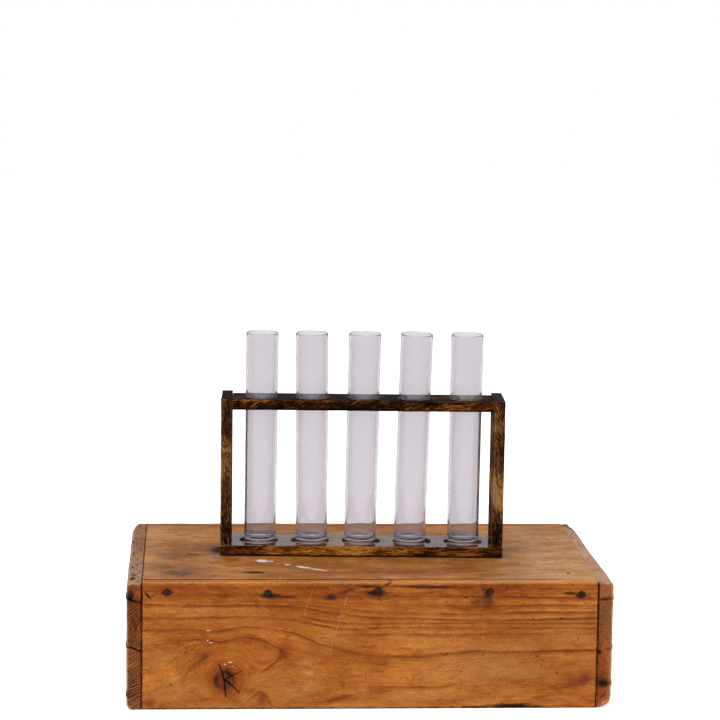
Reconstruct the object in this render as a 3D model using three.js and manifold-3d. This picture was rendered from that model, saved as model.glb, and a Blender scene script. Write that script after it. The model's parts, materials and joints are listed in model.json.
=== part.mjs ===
// A stem vase: five glass tubes in a dark wooden rack, on a block that is an upturned pine crate.
// Sizes are in millimetres and +Z is up. The origin is the middle of the crate's footprint, on the ground.
import * as THREE from "three";
import { mergeVertices } from "three/addons/utils/BufferGeometryUtils.js";
import Module from "manifold-3d";

const wasm = await Module();
wasm.setup();

// Crate: two end boards cap the ends of the front and back boards, and the top board lies between all four.
const crateLength = 437.6;
const crateDepth = 249;
const crateHeight = 117;
const endThickness = 13.7;
const sideThickness = 10.5;
const topThickness = 14;
const boardSeam = 0.4;

// Radii to which use has rounded the crate's outer edges.
const wornEndEdge = 5;
const wornLowRightEdge = 9;
const wornLongEdge = 2.5;
const wornFootEdge = 1;
const wornUprightEdge = 2;

// Nails of the crate. A scatter is how far the hammer strayed from an even row: along the row, then upwards.
const nailLength = 26;
const nailRadius = 1.3;
const nailPoint = 4;
const nailHeadRadius = 3;
const nailHeadHeight = 1.4;
const nailFit = 0.3;
const sideNailDrop = 10;
const sideNailInset = 19;
const sideNailSunk = 0.3;
const sideNailScatter = [[3, 0.5], [0, -0.6], [5.5, 2], [14, 0.8], [3.5, -2]];
const endNailInset = 13.5;
const endNailProud = 0.7;
const leftNailScatter = [0, 0.5, 0];
const rightNailScatter = [9, -2.5, -1.5];

// Rack: a base board, two posts on it, and a pierced rail between the posts, level with them in front.
const rackWidth = 263.5;
const rackHeight = 148;
const rackBoard = 10;
const baseDepth = 51;
const railDepth = 40;
const railDrop = 0.3;
const rackSeam = 0.3;
const rackEase = 0.8;

// Where the rack stands on the crate: its front face's middle, and its turn about the upright.
const rackShift = -3;
const rackFrontY = -26;
const rackTurn = -2.2;
const standGap = 0.3;

// Brads of the rack.
const bradLength = 22;
const bradRadius = 0.7;
const bradPoint = 2;
const bradHeadRadius = 1.2;
const bradHeadHeight = 0.8;
const bradFit = 0.3;
const bradSunk = 0.3;
const baseBradInset = 10;
const railBradInset = 5;

// Glass tubes, flat at the foot and open at the rim.
const tubeCount = 5;
const tubePitch = 48;
const tubeRadius = 15;
const tubeLength = 200;
const tubeWall = 1.8;
const tubeFloor = 4.5;
const footCorner = 3;
const boreCorner = 5;

// Fits of the tubes. A hole may be bored a little to the right of its place in the even row, and each
// foot has strayed sideways in its recess, by a share of the play there.
const railHolePlay = 0.75;
const recessPlay = 3;
const recessDepth = 2.5;
const holeEase = 0.6;
const seatGap = 0.3;
const holeStray = [1.6, 0.4, 0.4, 0, 0];
const footStray = [0.35, 0.5, -0.35, -0.85, -0.05];

// How finely round forms are cut into facets.
const tubeFacets = 32;
const nailFacets = 8;
const bradFacets = 6;
const arcDivisions = 2;
const crateEdgeFacets = 3;
const rackEdgeFacets = 2;

// Length by which a cutting tool runs past the surface it cuts.
const overcut = 2;

const pine = { color: 0xb8743c, roughness: 0.6, metalness: 0 };
const iron = { color: 0x2b2320, roughness: 0.8, metalness: 0.6 };
const torchedWood = { color: 0x4a3018, roughness: 0.4, metalness: 0 };
const steel = { color: 0x8a8580, roughness: 0.4, metalness: 0.9 };
const clearGlass = { color: 0xe8e6ee, roughness: 0.05, metalness: 0, transparent: true, opacity: 0.3 };

// A closed geometry as a solid that can be cut and joined.
function solidOf(geometry) {
  const bare = geometry.clone();
  bare.deleteAttribute("normal");
  bare.deleteAttribute("uv");
  const merged = mergeVertices(bare, 1e-4);
  const mesh = new wasm.Mesh({
    numProp: 3,
    vertProperties: merged.attributes.position.array,
    triVerts: new Uint32Array(merged.index.array),
  });
  return new wasm.Manifold(mesh);
}

// A solid as a geometry again.
function geometryOf(solid) {
  const mesh = solid.getMesh();
  const geometry = new THREE.BufferGeometry();
  geometry.setAttribute("position", new THREE.BufferAttribute(mesh.vertProperties, 3));
  geometry.setIndex(new THREE.BufferAttribute(mesh.triVerts, 1));
  geometry.computeVertexNormals();
  return geometry;
}

function piece(name, geometry, finish) {
  const mesh = new THREE.Mesh(geometry, new THREE.MeshStandardMaterial(finish));
  mesh.name = name;
  return mesh;
}

// A rectangle about the origin, with radii for its corners from the lower left one, anticlockwise.
function roundedOutline(width, height, [lowLeft, lowRight, topRight, topLeft]) {
  const x = width / 2;
  const y = height / 2;
  const outline = new THREE.Shape();
  outline.absarc(-x + lowLeft, -y + lowLeft, lowLeft, Math.PI, 1.5 * Math.PI);
  outline.absarc(x - lowRight, -y + lowRight, lowRight, 1.5 * Math.PI, 2 * Math.PI);
  outline.absarc(x - topRight, y - topRight, topRight, 0, 0.5 * Math.PI);
  outline.absarc(-x + topLeft, y - topLeft, topLeft, 0.5 * Math.PI, Math.PI);
  return outline;
}

// An outline drawn on the axes across and upwards, extruded evenly both ways along the third.
function prism(outline, length, across, upwards, edgeFacets) {
  const along = new THREE.Vector3().crossVectors(across, upwards);
  const geometry = new THREE.ExtrudeGeometry(outline, {
    depth: length,
    bevelEnabled: false,
    curveSegments: edgeFacets,
  });
  geometry.translate(0, 0, -length / 2);
  geometry.applyMatrix4(new THREE.Matrix4().makeBasis(across, upwards, along));
  return solidOf(geometry);
}

const axisX = new THREE.Vector3(1, 0, 0);
const axisY = new THREE.Vector3(0, 1, 0);
const axisZ = new THREE.Vector3(0, 0, 1);

// A block with all its edges eased: what three rounded prisms, one along each axis, have in common.
function easedBlock(size, frontRadii, sideRadii, planRadius, edgeFacets) {
  const frontOutline = roundedOutline(size.x, size.z, frontRadii);
  const sideOutline = roundedOutline(size.y, size.z, sideRadii);
  const planOutline = roundedOutline(size.x, size.y, Array(4).fill(planRadius));
  return prism(frontOutline, size.y, axisX, axisZ, edgeFacets)
    .intersect(prism(sideOutline, size.x, axisY, axisZ, edgeFacets))
    .intersect(prism(planOutline, size.z, axisX, axisY, edgeFacets));
}

// A form turned about +Z from a profile of [radius, height] points that starts and ends on the axis.
// Going through a solid joins the turning's first and last edge into one.
function turned(profile, facets) {
  const points = profile.map(([radius, height]) => new THREE.Vector2(radius, height));
  const lathe = new THREE.LatheGeometry(points, facets).rotateX(Math.PI / 2);
  return geometryOf(solidOf(lathe));
}

// A nail with its head's face at the origin and its shank down -Z, and the bore that it is driven into.
function nailShape({ length, radius, point, headRadius, headHeight, facets }) {
  return turned([
    [0, -length],
    [radius, -length + point],
    [radius, -headHeight],
    [headRadius, -headHeight],
    [headRadius, -headHeight / 2],
    [headRadius * 0.85, 0],
    [0, 0],
  ], facets);
}

function nailBore({ length, radius, headRadius, headHeight, facets, fit }) {
  return turned([
    [0, -length - fit],
    [radius + fit, -length - fit],
    [radius + fit, -headHeight - fit],
    [headRadius + fit, -headHeight - fit],
    [headRadius + fit, overcut],
    [0, overcut],
  ], facets);
}

// The turn that faces +Z of a turned form towards a direction.
function facing(direction) {
  return new THREE.Quaternion().setFromUnitVectors(axisZ, direction);
}

function driven(kind, { name, face, outward, proud }) {
  const nail = piece(name, nailShape(kind), kind.finish);
  nail.position.copy(face).addScaledVector(outward, proud);
  nail.quaternion.copy(facing(outward));
  return nail;
}

// The bores of all of a group's nails, as one solid to be cut from its boards.
function boresOf(kind, nails) {
  const bores = nails.map(({ face, outward, proud }) => {
    const place = face.clone().addScaledVector(outward, proud);
    const bore = nailBore(kind).applyQuaternion(facing(outward));
    return solidOf(bore.translate(place.x, place.y, place.z));
  });
  return bores.reduce((all, bore) => all.add(bore));
}

// A board shaped in its group's frame, as a mesh whose own origin is the board's middle.
function board(name, shaped, centre, finish) {
  const geometry = geometryOf(shaped).translate(-centre.x, -centre.y, -centre.z);
  const mesh = piece(name, geometry, finish);
  mesh.position.copy(centre);
  return mesh;
}

function at(solid, centre) {
  return solidOf(geometryOf(solid).translate(centre.x, centre.y, centre.z));
}

// Crate boards
const crateNail = {
  length: nailLength,
  radius: nailRadius,
  point: nailPoint,
  headRadius: nailHeadRadius,
  headHeight: nailHeadHeight,
  facets: nailFacets,
  fit: nailFit,
  finish: iron,
};

const sideLength = crateLength - 2 * (endThickness + boardSeam);
const crateNails = [];

// Five nails through the front and the back board into the edges of the top board.
for (const [side, away] of [["front", -1], ["back", 1]]) {
  sideNailScatter.forEach(([along, up], i) => {
    const run = sideLength - 2 * sideNailInset;
    const even = -run / 2 + (run * i) / (sideNailScatter.length - 1);
    const x = -away * (even + along);
    const z = crateHeight - sideNailDrop + up;
    crateNails.push({
      name: `${side}_nail_${i + 1}`,
      face: new THREE.Vector3(x, (away * crateDepth) / 2, z),
      outward: new THREE.Vector3(0, away, 0),
      proud: -sideNailSunk,
    });
  });
}

// Three nails up each edge of an end board, into the end grain of the front and back boards.
for (const [end, away, scatter] of [["left", -1, leftNailScatter], ["right", 1, rightNailScatter]]) {
  for (const [side, y] of [["front", -1], ["back", 1]]) {
    scatter.forEach((up, i) => {
      const run = crateHeight - 2 * endNailInset;
      const z = endNailInset + (run * i) / (scatter.length - 1) + up;
      crateNails.push({
        name: `${end}_end_${side}_nail_${i + 1}`,
        face: new THREE.Vector3((away * crateLength) / 2, (y * (crateDepth - sideThickness)) / 2, z),
        outward: new THREE.Vector3(away, 0, 0),
        proud: endNailProud,
      });
    });
  }
}

const crateOutside = easedBlock(
  new THREE.Vector3(crateLength, crateDepth, crateHeight),
  [wornEndEdge, wornLowRightEdge, wornEndEdge, wornEndEdge],
  [wornFootEdge, wornFootEdge, wornLongEdge, wornLongEdge],
  wornUprightEdge,
  crateEdgeFacets,
);
const crateMiddle = new THREE.Vector3(0, 0, crateHeight / 2);
const wornOutside = at(crateOutside, crateMiddle).subtract(boresOf(crateNail, crateNails));

// A plain slab, worn on the outside with the rest of the crate and bored for the nails that cross it.
function crateBoard(name, size, centre) {
  const slab = new THREE.BoxGeometry(size.x, size.y, size.z).translate(centre.x, centre.y, centre.z);
  return board(name, solidOf(slab).intersect(wornOutside), centre, pine);
}

const crate = new THREE.Group();
const endSize = new THREE.Vector3(endThickness, crateDepth, crateHeight);
const sideSize = new THREE.Vector3(sideLength, sideThickness, crateHeight);
const topWidth = crateDepth - 2 * (sideThickness + boardSeam);
const topSize = new THREE.Vector3(sideLength, topWidth, topThickness);
const endX = (crateLength - endThickness) / 2;
const sideY = (crateDepth - sideThickness) / 2;
const topZ = crateHeight - topThickness / 2;

crate.add(
  crateBoard("left_end_board", endSize, new THREE.Vector3(-endX, 0, crateHeight / 2)),
  crateBoard("right_end_board", endSize, new THREE.Vector3(endX, 0, crateHeight / 2)),
  crateBoard("front_board", sideSize, new THREE.Vector3(0, -sideY, crateHeight / 2)),
  crateBoard("back_board", sideSize, new THREE.Vector3(0, sideY, crateHeight / 2)),
  crateBoard("top_board", topSize, new THREE.Vector3(0, 0, topZ)),
  ...crateNails.map((nail) => driven(crateNail, nail)),
);

// Rack boards. The rack's own frame starts at the middle of its front edge, on its underside.
const brad = {
  length: bradLength,
  radius: bradRadius,
  point: bradPoint,
  headRadius: bradHeadRadius,
  headHeight: bradHeadHeight,
  facets: bradFacets,
  fit: bradFit,
  finish: steel,
};

const postHeight = rackHeight - rackBoard - rackSeam;
const postX = (rackWidth - rackBoard) / 2;
const railLength = rackWidth - 2 * (rackBoard + rackSeam);
const railZ = rackHeight - railDrop - rackBoard / 2;
const brads = [];

for (const [side, away] of [["left", -1], ["right", 1]]) {
  // Two brads up through the base board into each post's foot.
  [baseBradInset, baseDepth - baseBradInset].forEach((y, i) => {
    brads.push({
      name: `${side}_base_brad_${i + 1}`,
      face: new THREE.Vector3(away * postX, y, 0),
      outward: new THREE.Vector3(0, 0, -1),
      proud: -bradSunk,
    });
  });
  // Two brads through each post into the rail's end.
  [railBradInset, railDepth - railBradInset].forEach((y, i) => {
    brads.push({
      name: `${side}_rail_brad_${i + 1}`,
      face: new THREE.Vector3((away * rackWidth) / 2, y, railZ),
      outward: new THREE.Vector3(away, 0, 0),
      proud: -bradSunk,
    });
  });
}

const bradBores = boresOf(brad, brads);

function rackBoardPiece(name, size, centre, cuts) {
  const eased = Array(4).fill(rackEase);
  const block = easedBlock(size, eased, eased, rackEase, rackEdgeFacets);
  const cut = cuts.reduce((rest, tool) => rest.subtract(tool), at(block, centre));
  return board(name, cut.subtract(bradBores), centre, torchedWood);
}

// Tools for the tubes' holes in the rail and their recesses in the base, with eased edges.
const holeRadius = tubeRadius + railHolePlay;
const recessRadius = tubeRadius + recessPlay;
const holeTool = turned([
  [0, -rackBoard / 2 - overcut],
  [holeRadius + holeEase + overcut, -rackBoard / 2 - overcut],
  [holeRadius, -rackBoard / 2 + holeEase],
  [holeRadius, rackBoard / 2 - holeEase],
  [holeRadius + holeEase + overcut, rackBoard / 2 + overcut],
  [0, rackBoard / 2 + overcut],
], tubeFacets);
const recessTool = turned([
  [0, -recessDepth],
  [recessRadius, -recessDepth],
  [recessRadius, -holeEase],
  [recessRadius + holeEase + overcut, overcut],
  [0, overcut],
], tubeFacets);

const tubeRow = Array.from({ length: tubeCount }, (_, i) => (i - (tubeCount - 1) / 2) * tubePitch);
const holeRow = tubeRow.map((x, i) => x + holeStray[i]);
const holes = holeRow.map((x) => solidOf(holeTool.clone().translate(x, railDepth / 2, railZ)));
const recesses = tubeRow.map((x) => solidOf(recessTool.clone().translate(x, baseDepth / 2, rackBoard)));

const rack = new THREE.Group();
const postSize = new THREE.Vector3(rackBoard, baseDepth, postHeight);
const postZ = rackHeight - postHeight / 2;
rack.add(
  rackBoardPiece(
    "rack_base",
    new THREE.Vector3(rackWidth, baseDepth, rackBoard),
    new THREE.Vector3(0, baseDepth / 2, rackBoard / 2),
    recesses,
  ),
  rackBoardPiece("left_post", postSize, new THREE.Vector3(-postX, baseDepth / 2, postZ), []),
  rackBoardPiece("right_post", postSize, new THREE.Vector3(postX, baseDepth / 2, postZ), []),
  rackBoardPiece(
    "rack_rail",
    new THREE.Vector3(railLength, railDepth, rackBoard),
    new THREE.Vector3(0, railDepth / 2, railZ),
    holes,
  ),
  ...brads.map((nail) => driven(brad, nail)),
);

// A glass tube, turned from one profile: flat foot, outer wall, round rim, bore and thick floor.
function tubeShape() {
  const rim = tubeWall / 2;
  const bore = tubeRadius - tubeWall;
  const profile = new THREE.Path();
  profile.moveTo(0, 0);
  profile.lineTo(tubeRadius - footCorner, 0);
  profile.absarc(tubeRadius - footCorner, footCorner, footCorner, -Math.PI / 2, 0);
  profile.absarc(tubeRadius - rim, tubeLength - rim, rim, 0, Math.PI);
  profile.absarc(bore - boreCorner, tubeFloor + boreCorner, boreCorner, 0, -Math.PI / 2, true);
  profile.lineTo(0, tubeFloor);
  const points = profile.getPoints(arcDivisions).map(({ x, y }) => [x, y]);
  return turned(points, tubeFacets);
}

// Each tube stands in its recess and leans through the middle of its hole in the rail.
tubeRow.forEach((x, i) => {
  const hole = new THREE.Vector3(holeRow[i], railDepth / 2, railZ);
  const foot = new THREE.Vector3(x + footStray[i] * recessPlay, baseDepth / 2, rackBoard - recessDepth);
  const lean = hole.clone().sub(foot).normalize();
  const tipped = (tubeRadius - footCorner) * Math.hypot(lean.x, lean.y);
  const tube = piece(`glass_tube_${i + 1}`, tubeShape(), clearGlass);
  tube.position.copy(foot).addScaledVector(axisZ, tipped + seatGap);
  tube.quaternion.copy(facing(lean));
  rack.add(tube);
});

rack.position.set(rackShift, rackFrontY, crateHeight + standGap);
rack.rotation.z = THREE.MathUtils.degToRad(rackTurn);

const vase = new THREE.Group();
vase.add(crate, rack);

export default vase;
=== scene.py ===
import json
import math

import bpy
import numpy as np
from mathutils import Matrix, Vector


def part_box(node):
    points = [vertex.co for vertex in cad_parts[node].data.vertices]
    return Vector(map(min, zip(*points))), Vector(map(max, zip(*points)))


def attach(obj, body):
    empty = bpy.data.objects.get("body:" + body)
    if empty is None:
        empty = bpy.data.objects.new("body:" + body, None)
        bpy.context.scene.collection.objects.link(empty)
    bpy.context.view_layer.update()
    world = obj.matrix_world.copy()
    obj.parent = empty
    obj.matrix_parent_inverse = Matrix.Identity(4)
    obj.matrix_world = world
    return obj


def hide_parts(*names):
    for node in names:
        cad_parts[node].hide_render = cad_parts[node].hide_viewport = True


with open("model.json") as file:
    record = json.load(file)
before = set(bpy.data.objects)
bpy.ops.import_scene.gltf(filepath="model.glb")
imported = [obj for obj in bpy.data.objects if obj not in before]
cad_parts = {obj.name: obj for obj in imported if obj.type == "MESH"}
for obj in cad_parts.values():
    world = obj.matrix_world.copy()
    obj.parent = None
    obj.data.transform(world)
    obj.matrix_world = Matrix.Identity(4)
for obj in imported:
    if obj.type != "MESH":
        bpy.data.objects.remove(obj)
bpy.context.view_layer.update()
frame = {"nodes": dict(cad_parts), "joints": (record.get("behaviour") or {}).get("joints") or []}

# Front board
# Old waxed pine, sawn flat: its rings run along it, arch over a knot and close in a dark tip beside it.
# Five nails hold its upper edge to the top board, and both its ends are covered by the end boards.
MM = 0.001
X, Y, Z = 0, 1, 2
LOW, HIGH = -1, 1
FACE_CELL = 1.9
# How far a board's skin is pushed past its solid into a joint, so that no light shows through the joint.
JOINT_PLAY = 0.35


def corners_of(*nodes):
    """Lowest and highest corner of some solids together, in millimetres."""
    boxes = np.array([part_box(node) for node in nodes]) / MM
    return boxes[:, 0].min(0), boxes[:, 1].max(0)


def snug(node, *axes):
    """The corners of a board that is pushed close against its neighbours at both ends of some axes."""
    low, high = corners_of(node)
    for axis in axes:
        low[axis] -= JOINT_PLAY
        high[axis] += JOINT_PLAY
    return low, high


def mesh_lines(low, high, cell, finer):
    """Where a board's mesh is cut along one axis: cell apart, closer at both ends and in finer stretches."""
    end_cell, growth, samples = 0.3, 0.35, 6000
    place = np.linspace(low, high, samples)
    step = np.minimum(cell, end_cell + growth * np.minimum(place - low, high - place))
    for start, end, fine in finer:
        away = np.maximum(np.maximum(start - place, place - end), 0)
        step = np.minimum(step, fine + growth * away)
    count = np.concatenate(([0], np.cumsum(np.diff(place) / step[1:])))
    return np.interp(np.linspace(0, count[-1], math.ceil(count[-1]) + 1), count, place)


def wander(seed, points, wavelength, waves=9):
    """A smooth random value of about -1 to 1 at each point, which changes over that wavelength."""
    draw = np.random.default_rng(seed)
    ways = draw.normal(size=(waves, points.shape[1]))
    ways /= np.linalg.norm(ways, axis=1)[:, None]
    lengths = np.asarray(wavelength, float) * draw.uniform(0.6, 1.6, waves)[:, None]
    phase = draw.uniform(0, math.tau, waves)
    return np.sin(points @ (math.tau * ways / lengths).T + phase).sum(1) / math.sqrt(waves)


def fade(value, start, end):
    """0 at start, 1 at end, and smooth between."""
    share = np.clip((value - start) / (end - start), 0, 1)
    return share * share * (3 - 2 * share)


def swell(value, middle, half_width):
    """1 at middle, falling softly to 0 on both sides of it."""
    return np.exp(-(((value - middle) / half_width) ** 2))


def wall(low, high, face):
    """Where one face of a block that runs from low to high lies."""
    axis, end = face
    return low[axis] if end == LOW else high[axis]


class Board:
    """A board's closed skin in millimetres, with named values at its points for its finish."""

    def __init__(self, low, high, cell, finer=((), (), ())):
        self.low, self.high = np.array(low, float), np.array(high, float)
        lines = [mesh_lines(*ends) for ends in zip(low, high, (cell,) * 3, finer)]
        count = [len(line) for line in lines]
        skin = np.zeros(count, bool)
        for axis in (X, Y, Z):
            np.moveaxis(skin, axis, 0)[[0, -1]] = True
        number = np.full(count, -1)
        number[skin] = np.arange(skin.sum())
        self.points = np.stack([grid[skin] for grid in np.meshgrid(*lines, indexing="ij")], 1)
        self.sawn = self.points.copy()
        quads = []
        for axis, outward in ((X, HIGH), (Y, LOW), (Z, HIGH)):
            for end in (LOW, HIGH):
                sheet = np.take(number, 0 if end == LOW else -1, axis)
                loop = (sheet[:-1, :-1], sheet[1:, :-1], sheet[1:, 1:], sheet[:-1, 1:])
                quads.append(np.stack(loop[:: end * outward], -1).reshape(-1, 4))
        self.quads = np.concatenate(quads)
        self.values = {}

    def depth(self, axis, end):
        """How far each point lies inside one of the board's sawn faces."""
        return self.sawn[:, axis] - self.low[axis] if end == LOW else self.high[axis] - self.sawn[:, axis]

    def on(self, axis, end):
        """Which points lie on that sawn face."""
        return self.depth(axis, end) < 1e-6

    def ease(self, low, high, edge, radius, stretch=1.0):
        """Rounds one edge of a block that runs from low to high; edge names the two faces that meet there.
        Square to the second face the rounding has only stretch times its radius."""
        (a, end_a), (b, end_b) = edge
        radius = np.broadcast_to(radius, len(self.points))
        reach = []
        for (axis, end), share in zip(edge, (1.0, stretch)):
            inside = (wall(low, high, (axis, end)) - self.points[:, axis]) * end
            reach.append(1 - inside / (radius * share))
        near = (reach[0] > 0) & (reach[1] > 0)
        u, v = reach[0][near], reach[1][near]
        pull = radius[near] * (1 - np.maximum(u, v) / np.hypot(u, v))
        self.points[near, a] -= end_a * u * pull
        self.points[near, b] -= end_b * v * pull * stretch

    def break_edges(self, radius):
        """Takes the sharpness off all twelve edges of the board itself."""
        for a, b in ((X, Y), (X, Z), (Y, Z)):
            for end_a in (LOW, HIGH):
                for end_b in (LOW, HIGH):
                    self.ease(self.low, self.high, ((a, end_a), (b, end_b)), radius)

    def press(self, face, depth):
        """Pushes the points of one sawn face into the wood by a depth at each of them."""
        axis, end = face
        self.points[:, axis] -= end * depth * self.on(axis, end)

    def piece(self, name, material):
        """The board as an object in metres, with its values as point attributes."""
        mesh = bpy.data.meshes.new(name)
        mesh.from_pydata(self.points * MM, [], self.quads.tolist())
        for value, at_points in self.values.items():
            layer = mesh.attributes.new(value, "FLOAT", "POINT")
            layer.data.foreach_set("value", np.broadcast_to(at_points, len(self.points)).astype(np.float32))
        mesh.shade_smooth()
        mesh.materials.append(material)
        made = bpy.data.objects.new(name, mesh)
        bpy.context.scene.collection.objects.link(made)
        return made


def distance_to(points, start, end):
    """Distance of flat points from a straight line between two places, and how far along it they lie."""
    start, run = np.array(start, float), np.subtract(end, start)
    along = np.clip((points - start) @ run / (run @ run), 0, 1)
    return np.linalg.norm(points - start - along[:, None] * run, axis=1), along


def blot(points, place, half_length, half_width, turn=0.0):
    """1 in the middle of a soft lengthways patch, falling to 0 round it."""
    turn = math.radians(turn)
    away = points - np.array(place, float)
    along = away @ (math.cos(turn), math.sin(turn)) / half_length
    across = away @ (-math.sin(turn), math.cos(turn)) / half_width
    return np.exp(-(along**2 + across**2))


def patches(points, rows, start=0.0):
    """The strongest of some soft patches at each point, but never less than start. A row says a patch's
    place, half length, half width, turn and strength."""
    value = np.broadcast_to(start, len(points))
    for place, half_length, half_width, turn, strength in rows:
        value = np.maximum(value, strength * blot(points, place, half_length, half_width, turn))
    return value


# How the crate is worn: the radius to which each edge of the whole block is rounded, and where the rounding
# is flatter, its stretch. The lower right edge rubs most.
crate_low, crate_high = corners_of("left_end_board", "right_end_board")
WORN_EDGES = (
    (((X, LOW), (Z, LOW)), 6.0),
    (((X, HIGH), (Z, LOW)), 15.5, 0.72),
    (((X, LOW), (Z, HIGH)), 5.0),
    (((X, HIGH), (Z, HIGH)), 5.0),
    (((Y, LOW), (Z, HIGH)), 2.5),
    (((Y, HIGH), (Z, HIGH)), 2.5),
    (((Y, LOW), (Z, LOW)), 1.0),
    (((Y, HIGH), (Z, LOW)), 1.0),
    (((X, LOW), (Y, LOW)), 2.0),
    (((X, HIGH), (Y, LOW)), 2.0),
    (((X, LOW), (Y, HIGH)), 2.0),
    (((X, HIGH), (Y, HIGH)), 2.0),
)


# How far black dirt reaches from the joints along each axis, on the sides and on top, and how far the
# painted contact shadow, with some dirt, reaches up from the foot.
JOINT_DIRT = (1.25, 2.0, 0.6)
TOP_DIRT = (0.6, 1.6, 0.6)
FOOT_SHADOW_AND_DIRT = 1.1
# Where the top's joints are filled up, towards the right, and where its right end stands clear of the ground.
FILLED_FROM, FILLED_TO = 150, 200
CLEAR_FROM, CLEAR_TO = 204, 208
BROKEN_EDGE = 0.3


def wear(board, seed):
    """Rounds a crate board with the crate, unevenly, says how worn each point is, blackens its joints, and
    paints a dark line along its foot as its contact shadow on the ground, with some dirt."""
    joint = np.zeros(len(board.points))
    outside = np.zeros(len(board.points), bool)
    for axis in (X, Y, Z):
        reach = np.where(board.on(Z, HIGH), TOP_DIRT[axis], JOINT_DIRT[axis])
        for end in (LOW, HIGH):
            own = wall(board.low, board.high, (axis, end))
            if abs(own - wall(crate_low, crate_high, (axis, end))) < 1e-3:
                outside |= board.on(axis, end)
            else:
                joint = np.maximum(joint, 1 - fade(board.depth(axis, end) / reach, 0.35, 1.0))
    dirt = 1.05 + 0.2 * wander(seed + 5, board.sawn, 45) + 0.25 * wander(seed + 6, board.sawn, 7)
    dirt = np.clip(dirt, 0.6, 1)
    filled = 1 - 0.92 * fade(board.sawn[:, X], FILLED_FROM, FILLED_TO) * board.on(Z, HIGH)
    board.values["dark_line"] = np.maximum(board.values["dark_line"], joint * dirt * filled * outside)
    board.break_edges(BROKEN_EDGE)
    worn = np.zeros(len(board.points))
    rub = 1 + 0.14 * wander(seed, board.sawn, 30) + 0.07 * wander(seed + 1, board.sawn, 8)
    for edge, radius, *stretch in WORN_EDGES:
        away = [board.sawn[:, axis] - wall(crate_low, crate_high, (axis, end)) for axis, end in edge]
        far = np.hypot(*away)
        worn = np.maximum(worn, swell(far, 0, 1.6 + 0.55 * radius))
        board.ease(crate_low, crate_high, edge, radius * rub, *stretch)
    hollow = 0.05 * wander(seed + 2, board.sawn, 60) + 0.03 * wander(seed + 3, board.sawn, 13)
    for axis in (X, Y, Z):
        for end in (LOW, HIGH):
            outside_at = wall(crate_low, crate_high, (axis, end))
            outer = board.on(axis, end) & (abs(board.sawn[:, axis] - outside_at) < 1e-6)
            board.points[outer, axis] -= end * np.maximum(0.1 + hollow[outer], 0.02)
    board.values["worn"] = worn
    # A painted contact shadow with some dirt darkens the foot, but not where the right end stands clear.
    ragged = FOOT_SHADOW_AND_DIRT * (1 + 0.35 * wander(seed + 7, board.sawn, 12))
    foot = 1 - fade(board.sawn[:, Z] / ragged, 0.4, 1.1)
    foot *= 1 - 0.75 * fade(board.sawn[:, X], CLEAR_FROM, CLEAR_TO)
    board.values["dark_line"] = np.maximum(board.values["dark_line"], foot)


NAIL_HEAD = 3.0
DENT = 0.75


def nail_marks(board, face, nodes):
    """Dents a face where nails were driven home, and gives the dark marks that their rust has left."""
    axis, end = face
    flat = np.delete(board.sawn, axis, 1)
    rust = np.zeros(len(flat))
    for node in nodes:
        low, high = corners_of(node)
        centre = np.delete((low + high) / 2, axis)
        away = np.linalg.norm(flat - centre, axis=1)
        board.press(face, DENT * (1 - fade(away, NAIL_HEAD * 0.95, NAIL_HEAD * 1.5)))
        rust = np.maximum(rust, 1.1 * (1 - fade(away, NAIL_HEAD * 0.9, NAIL_HEAD * 1.4)))
    return rust


SCRATCH_EDGE = (0.25, 0.8)


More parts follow.
